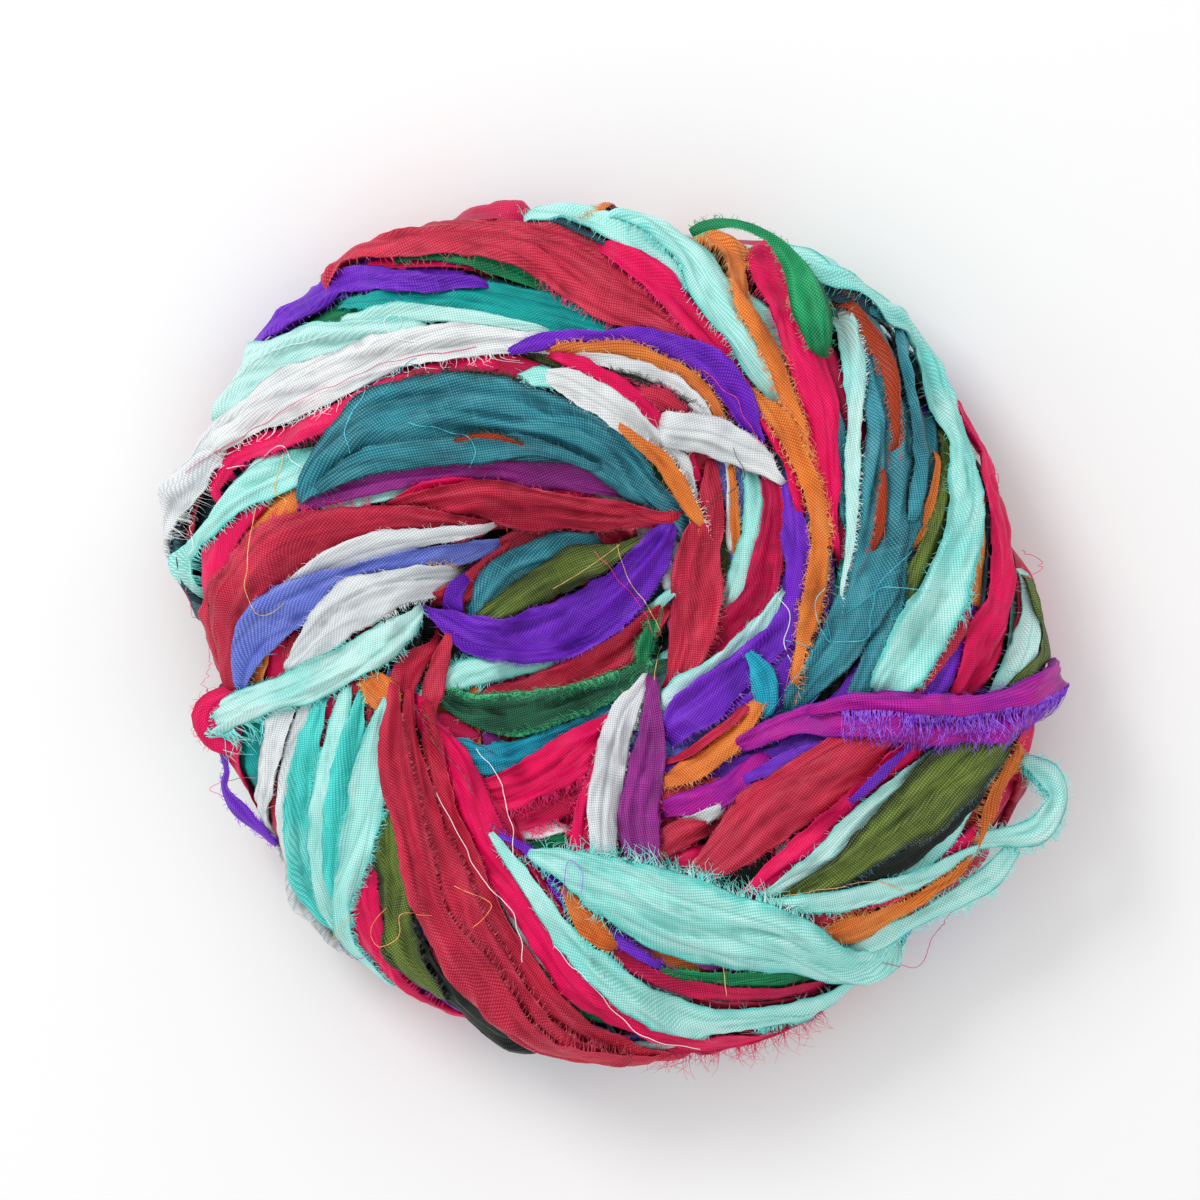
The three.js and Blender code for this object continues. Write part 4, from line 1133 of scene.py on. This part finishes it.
# %% Lower right
GROUPS["lower_right"] = read_rows("""
crimson: 688 874 16, 740 834 54, 790 794 62, 840 758 60, 902 726 34 / right 0.2 0.9 1.4 4 fuchsia
fuchsia: 742 890 14, 790 852 24, 832 818 26, 872 780 34, 920 736 30
violet: 842 800 6, 872 772 10, 908 742 6
pale_mint: 758 892 8, 810 860 26, 860 816 34, 900 780 34, 952 740 24
crimson: 1002 836 10, 1022 802 24, 1024 762 18
mint: 876 872 10, 920 850 22, 958 812 20, 984 772 10 / right 0 1 1.8 7 turquoise
black: 790 896 8, 850 876 18, 910 842 24, 962 796 24, 1000 758 14
olive: 776 894 12, 830 865 28, 880 829 46, 922 795 54, 960 765 52, 1000 738 34 / right 0.1 0.95 2 7 navy 0.7
emerald: 654 964 10, 700 975 28, 750 979 32, 800 974 28, 838 962 10 / left 0 1 0.8 4 emerald
rose: 494 822 10, 530 852 16, 560 890 18, 600 932 18, 640 962 18, 690 983 18, 760 992 16, 820 982 16, 888 950 10
violet: 502 830 6, 540 854 12, 565 890 13, 600 926 13, 662 966 8 / left 0 1 1.4 5 violet 1.2
mint: 492 828 8, 513 856 15, 538 890 21, 566 930 26, 602 970 28, 646 1000 28, 700 1016 28, 760 1014 30,
    820 1000 32, 870 975 30, 910 942 16 / right 0.62 1 2.6 9 turquoise 0.8
orange: 806 938 18, 850 925 34, 890 908 28, 930 890 18, 964 858 13, 986 815 15, 1000 780 18, 1020 746 16
    / left 0.1 1 2 8 orange 1.2 / right 0.5 1 1.6 7 orange 1.2
mint: 760 900 10, 820 896 24, 870 888 26, 920 874 20, 970 850 10 / right 0 1 1.8 8 turquoise
orange: 562 880 12, 586 912 24, 614 944 14 / right 0 1 1.8 9 turquoise
mint: 534 848 14, 568 862 34, 612 882 58, 662 908 84, 720 925 78, 780 938 62, 840 955 38, 896 946 16
    / left 0.08 0.66 4.4 7 turquoise 0.9 5 / left 0.1 0.68 4 2.6 pale_mint 1.3 6
    / right 0.02 0.3 2.2 5 turquoise
""")
print(len(GROUPS["lower_right"]), "ribbons")

# %% Laying the ribbons
TUCK = 22  # pixels that a ribbon runs on, out of sight, past the ends of its row
TUCK_WIDTH = 0.8  # of the ribbon's width, at the end of that
SPARSE_LENGTH = 1.0  # mm
SPARSE_PER_MM = 0.6
FIBRE_DYE = {"mint": "turquoise", "pale_mint": "turquoise", "petrol": "navy", "olive": "black",
             "darkgreen": "emerald", "magenta": "violet", "silver": "white", "navy": "black"}


def extended(course, bury):
    """The course with a further point at each end that dives into the coil."""
    first, last = course[0].copy(), course[-1].copy()
    for point, inner in ((first, course[1]), (last, course[-2])):
        step = point[:2] - inner[:2]
        point[:2] += step / np.linalg.norm(step) * TUCK
        point[2] *= TUCK_WIDTH
    return np.vstack(([first] if bury[0] else []) + [course] + ([last] if bury[1] else []))


def lay_ribbon(dye, course, seed, fringes, bury=END_DIVE, crown=None):
    """Lays one ribbon of the photograph, with a sparse fray on both edges and any fringe of its own."""
    course = extended(course, bury)
    disc, beyond = to_disc(from_photo(course[:, :2]))
    strip = lay_strip(np.column_stack([disc, course[:, 2] * MM_PER_PIXEL]), seed, crown, bury, beyond)
    for side in (-1, 1):
        fray(strip, side, SPARSE_LENGTH, SPARSE_PER_MM, seed + side, FIBRE_DYE.get(dye, dye), steps=SPARSE)
    for k, how in enumerate(fringes):
        fray(strip, seed=seed + 50 + k, **how)
    return strip


for number, rows in enumerate(GROUPS.values()):
    for k, (dye, course, fringes) in enumerate(rows):
        WOUND.setdefault(dye, []).append(lay_ribbon(dye, course, 1000 * (number + 1) + 17 * k, fringes))
print(sum(map(len, GROUPS.values())), "ribbons laid")

# %% [markdown]
# ## Slack loops
# Round the edge a few turns have slipped and bow out of the coil. They hang free, so each one has a height
# and a lean of its own: 0 lies flat and 1 stands on its edge.

# %% Loops at the edge
LOOPS = read_rows("""
mint: 842 955 27 14 0.2, 880 936 27 22 0.2, 920 915 26 15 0.3, 960 894 25.5 22 0.2, 992 872 25 25 0.2,
    1012 846 24 18 0.4
turquoise: 1002 842 25 10 0.4, 1024 838 25 18 0.3, 1046 826 24.5 18 0.3, 1054 800 24 16 0.3,
    1040 780 23.5 16 0.3, 1024 768 23.5 10 0.3
mint: 780 896 33 10 0.2, 820 889 32 14 0.2, 860 880 30 17 0.2, 920 857 28 16 0.2, 960 842 27 20 0.2,
    1000 836 26.5 20 0.3, 1032 830 26.5 32 0.3, 1048 812 26 30 0.3, 1056 794 25.5 24 0.3, 1048 776 25 26 0.3,
    1036 766 24.5 20 0.4, 1022 758 24 10 0.3
emerald: 690 236 31 10 0.3, 702 230 31.5 13 0.3, 722 227 32 14 0.4, 744 231 33 14 0.5, 765 242 35 15 0.5,
    783 259 37 20 0.4, 797 284 39.5 30 0.2, 807 314 41.5 38 0.1, 815 342 41 28 0.1, 820 362 36 8 0.1
fuchsia: 262 682 24 16 0.1, 238 694 24 26 0.1, 220 704 23.5 32 0.1, 210 716 23 36 0.2, 214 732 22.5 34 0.2,
    230 742 22 28 0.1, 254 746 21 14 0.1
rose: 640 1046 22 8 0.1, 680 1046 21 16 0.1, 730 1040 20.5 20 0.1, 780 1026 20.5 16 0.1, 820 1008 22 8 0.1
violet: 240 742 17.5 12 0.4, 224 752 18 15 0.5, 226 772 18 14 0.6, 224 788 18 16 0.6, 238 808 18 26 0.5,
    258 828 18 18 0.5, 276 846 18 8 0.5
""")  # x and y in pixels, height in mm, width in pixels and lean
LOOP_CROWN = 0.14  # of the width
ROUGH_FRAY, FINE_FRAY = (2.4, 5), (1.4, 4)  # mm long, fibres to a mm
TUFTED_FRAY = (5.5, 7)


def hang_strip(rows, seed):
    """A ribbon in free air, as a strip like those that lie on the coil."""
    places = from_photo(rows[:, :2])
    curve = spline(np.column_stack([places, rows[:, 2], rows[:, 3] * MM_PER_PIXEL, rows[:, 4]]), 30)
    run = np.concatenate([[0], np.cumsum(np.linalg.norm(np.diff(curve[:, :3], axis=0), axis=1))])
    along = np.linspace(0, run[-1], int(run[-1] / STATION) + 1)
    course = resampled(curve, run, along)
    centre, width, lean = course[:, :3], course[:, 3], course[:, 4:5]
    ahead = unit(np.gradient(centre, axis=0))
    away = unit(np.column_stack([centre[:, :2] - MIDDLE, np.zeros(len(centre))]))
    normal = (1 - lean) * [0, 0, 1] + lean * away
    normal = unit(normal - (normal * ahead).sum(1)[:, None] * ahead)
    right = np.cross(ahead, normal)
    across, u, w = strip_grid(along, width, int(np.clip(round(width.max() / LANE), 8, 30)))
    raised = fold_height(u, across, w, seed, LOOP_CROWN * width.max())
    half = 0.5 * w + 0.25 * noise(u / 2.6, np.sign(across) * 5, seed + 21) * near_edge(across)
    points = centre[:, None] + right[:, None] * (across * half)[..., None] + normal[:, None] * raised[..., None]
    return {"points": points, "outwards": np.repeat(normal[:, None], across.shape[1], 1), "disc": None,
            "height": raised, "u": u, "side": across * half, "across": across, "right": right, "ahead": ahead,
            "raised": raised, "tint": 0.5, "fill": np.zeros((len(along), 1))}


for k, (dye, rows, _) in enumerate(LOOPS):
    loop = hang_strip(rows, 9100 + 13 * k)
    WOUND.setdefault(dye, []).append(loop)
    length, per_mm = ROUGH_FRAY if dye in ("mint", "turquoise") else FINE_FRAY
    for side in (-1, 1):
        fray(loop, side, length, per_mm, 9200 + 13 * k + side, FIBRE_DYE.get(dye, dye), curl=1.0)
    if dye == "rose":
        for side in (-1, 1):
            fray(loop, side, *TUFTED_FRAY, 9300 + side, dye, curl=0.9, tuft=2.0)
print(len(LOOPS), "slack loops")

# %% [markdown]
# ## Bands across the turns
# Three folded ribbons cross over the others and hold the coil flat: a short white one above the middle, a
# mint one with a turquoise fringe on the left, and a magenta one with a violet fringe on the right. That
# fringe hangs from a fold on the magenta band, and a small tassel ends the mint one.

# %% Bands
BANDS = {"white_band": "white_silk", "mint_band": "mint_silk", "magenta_band": "magenta_silk"}  # node: slot
BAND_ROWS = read_rows("""
white: 674 433 36, 692 435 40, 712 439 42, 742 450 36, 762 464 24, 774 476 10 / left 0 0.9 0.9 3 white
pale_mint: 418 612 14, 396 634 34, 370 655 40, 320 680 38, 270 699 38, 234 712 40, 210 722 44
    / left 0.05 0.8 2.2 5 turquoise / right 0.3 0.9 1.2 4 turquoise / left 0.76 1 7 9 turquoise 0.3 5 1.4
magenta: 744 742 18, 772 729 26, 800 720 30, 850 713 46, 900 716 50, 960 716 48, 1010 709 44, 1046 694 48,
    1058 684 44 / right 0.45 1 2.6 7 violet 0.3 4 1.2
magenta: 812 708 8, 850 700 16, 900 702 20, 960 703 20, 1010 697 20, 1044 682 28, 1056 672 30
    / right 0.16 1 7.8 11 violet 0.25 5 2.1 / right 0.18 1 5 6 violet 0.3 5 1.3
turquoise: 204 704 9, 201 722 13, 209 742 11 / left 0 1 4.5 16 turquoise 0.7 5 1.4
    / right 0 1 4.5 16 turquoise 0.7 5 1.4
""")  # the three bands, the fold and the tassel
BAND_HOW = [(9500, (3, 4), 1.0), (9531, (5, 0), 1.0), (9562, (5, 0), 1.0), (9610, (5, 0), 0.8),
            (9650, (0, 0), 0.5)]  # seed, mm that the ends dive, and mm of crown
band_strips = [lay_ribbon(dye, course, seed, fringes, bury, crown)
               for (dye, course, fringes), (seed, bury, crown) in zip(BAND_ROWS, BAND_HOW)]
for (dye, _, _), strip in list(zip(BAND_ROWS, band_strips))[len(BANDS):]:
    WOUND[dye].append(strip)
print(len(BANDS), "bands")

# %% [markdown]
# ## Loose threads
# Long pulled threads wander over the coil in gold, pink, cream, turquoise and orange. Each is a course in
# the photograph's pixels; it lies on the cloth below it and lifts a little here and there.

# %% Threads
THREAD_POINTS = 48
THREAD_RADIUS = 0.09  # mm
THREAD_SWAY = 2.2  # pixels
LEAST_LIFT = 0.1  # mm
THREADS = read_rows("""
rose: 186 474, 205 458, 240 438, 300 404, 350 384, 372 374, 384 368, 400 364, 440 357, 478 352
white: 222 400, 240 372, 262 356, 300 344, 330 336
white: 372 346, 392 336, 402 326, 396 318, 386 326, 396 340, 420 346
white: 230 468, 262 462, 285 448, 296 462, 310 470
white: 196 500, 186 520, 192 545, 182 560
cyan: 352 408, 366 392, 392 380, 412 368, 424 374
cyan: 380 404, 392 392, 400 376, 420 362
cyan: 372 388, 360 412, 352 436, 356 456
cyan: 412 428, 440 432, 466 440, 480 454, 474 470
black: 428 712, 450 730, 480 742, 500 752
black: 420 704, 440 742, 462 764, 476 790
black: 700 520, 712 500, 728 492, 742 474, 730 452
white: 480 745, 500 775, 512 812, 516 850
white: 776 596, 786 614, 780 640, 788 660
rose: 700 372, 730 400, 752 438, 770 452
gold: 287 455, 280 490, 289 500, 285 513, 265 505, 258 530, 250 590, 258 608, 270 613, 287 604
rose: 180 585, 190 640, 197 700
gold: 555 590, 590 566, 620 545
gold: 618 545, 630 585, 650 610, 660 640, 655 680
rose: 595 550, 612 572, 640 605, 652 632
cyan: 830 640, 862 635, 870 590, 905 550
cyan: 840 615, 880 588, 925 590
cyan: 822 590, 812 606, 818 630, 826 640, 822 612
cyan: 760 715, 805 660, 800 645, 782 640
orange: 435 912, 405 910, 400 935, 380 942, 376 920, 388 903
orange: 345 938, 332 942, 340 928, 352 915
plum: 337 940, 350 962, 365 958
orange: 455 880, 492 900, 475 922
white: 440 790, 462 834, 490 880, 520 920, 525 955
white: 555 940, 596 986, 640 1030, 700 1048
violet: 565 890, 566 868, 572 855, 582 868, 581 890
rose: 985 475, 1010 467, 1012 482, 1000 495
rose: 1028 550, 1045 560, 1040 574, 1028 578
rose: 990 895, 940 938, 920 968, 885 965
rose: 255 778, 218 783, 205 793, 235 802
gold: 720 960, 722 976, 725 990
orange: 780 890, 830 883, 870 878, 900 890
""")


def lay_thread(course, seed):
    """A thread that follows the cloth below it, in mm."""
    curve = spline(course, 24)
    run = lengths(curve)
    even = np.linspace(0, run[-1], THREAD_POINTS)
    pixels = resampled(curve, run, even)
    pixels += THREAD_SWAY * np.stack([noise(even / 16, 3.5, seed), noise(even / 16, 8.5, seed)], -1)
    disc, beyond = to_disc(from_photo(pixels))
    lift = np.clip(0.35 + 1.3 * noise(even / 45, 1.5, seed), LEAST_LIFT, None)
    point, outwards = skin_point(disc)
    return point + outwards * (sample(stack, disc, CELL) + lift + beyond)[:, None]


for k, (dye, course, _) in enumerate(THREADS):
    FRAYED.setdefault((dye, THREAD_POINTS), []).append(lay_thread(course, 9800 + k)[None])
print(len(THREADS), "loose threads")

# %% [markdown]
# ## Ribbons to pieces
# Ribbons of one dye make one piece, and their fibres another, so that the skein is a few dozen objects
# and not hundreds. The bands are sheets of their own, laid on the coil.


def triangles(piece):
    """How many triangles a piece's faces make."""
    return sum(len(face.vertices) - 2 for face in piece.data.polygons)


def belongs(piece, slot, node):
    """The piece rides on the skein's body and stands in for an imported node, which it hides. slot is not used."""
    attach(piece, "root")
    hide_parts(node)
    return piece


pieces = [belongs(core, "mixed_silk", "wound_skein")]
# the cloth's height, blurred, for painted shade beside higher cloth
level = blur(stack, BESIDE_SHADE_REACH / CELL)
for dye, strips in WOUND.items():
    pieces.append(belongs(strips_piece(dye + "_ribbons", strips, SILKS[dye], level), "mixed_silk", "wound_skein"))
for (dye, steps), lines in FRAYED.items():
    if steps == THREAD_POINTS:
        name, radius, taper = dye + "_threads", THREAD_RADIUS, 1
    else:
        name, radius, taper = "%s_fray_%d" % (dye, steps), FIBRE_RADIUS.get(steps, THICKEST), FIBRE_TIP
    piece = tube_piece(name, np.concatenate(lines), radius, FIBRES[dye], taper)
    pieces.append(belongs(piece, "mixed_silk", "wound_skein"))
print(len(pieces), "pieces")

# %% Pieces of the bands
for (node, slot), (dye, _, _), strip in zip(BANDS.items(), BAND_ROWS, band_strips):
    piece = belongs(strips_piece(node + "_cloth", [strip], SILKS[dye], level), slot, node)
    wide = np.linalg.norm(np.diff(strip["points"], axis=1), axis=2).sum(1)
    long = np.linalg.norm(np.diff(strip["points"][:, strip["points"].shape[1] // 2], axis=0), axis=1).sum()
    print(node, "is up to", round(wide.max(), 1), "by", round(long, 1), "mm of cloth")
    pieces.append(piece)

counts = {piece.name: triangles(piece) for piece in pieces}
print("triangles:", sum(counts.values()), "most in one piece:", max(counts.values()))
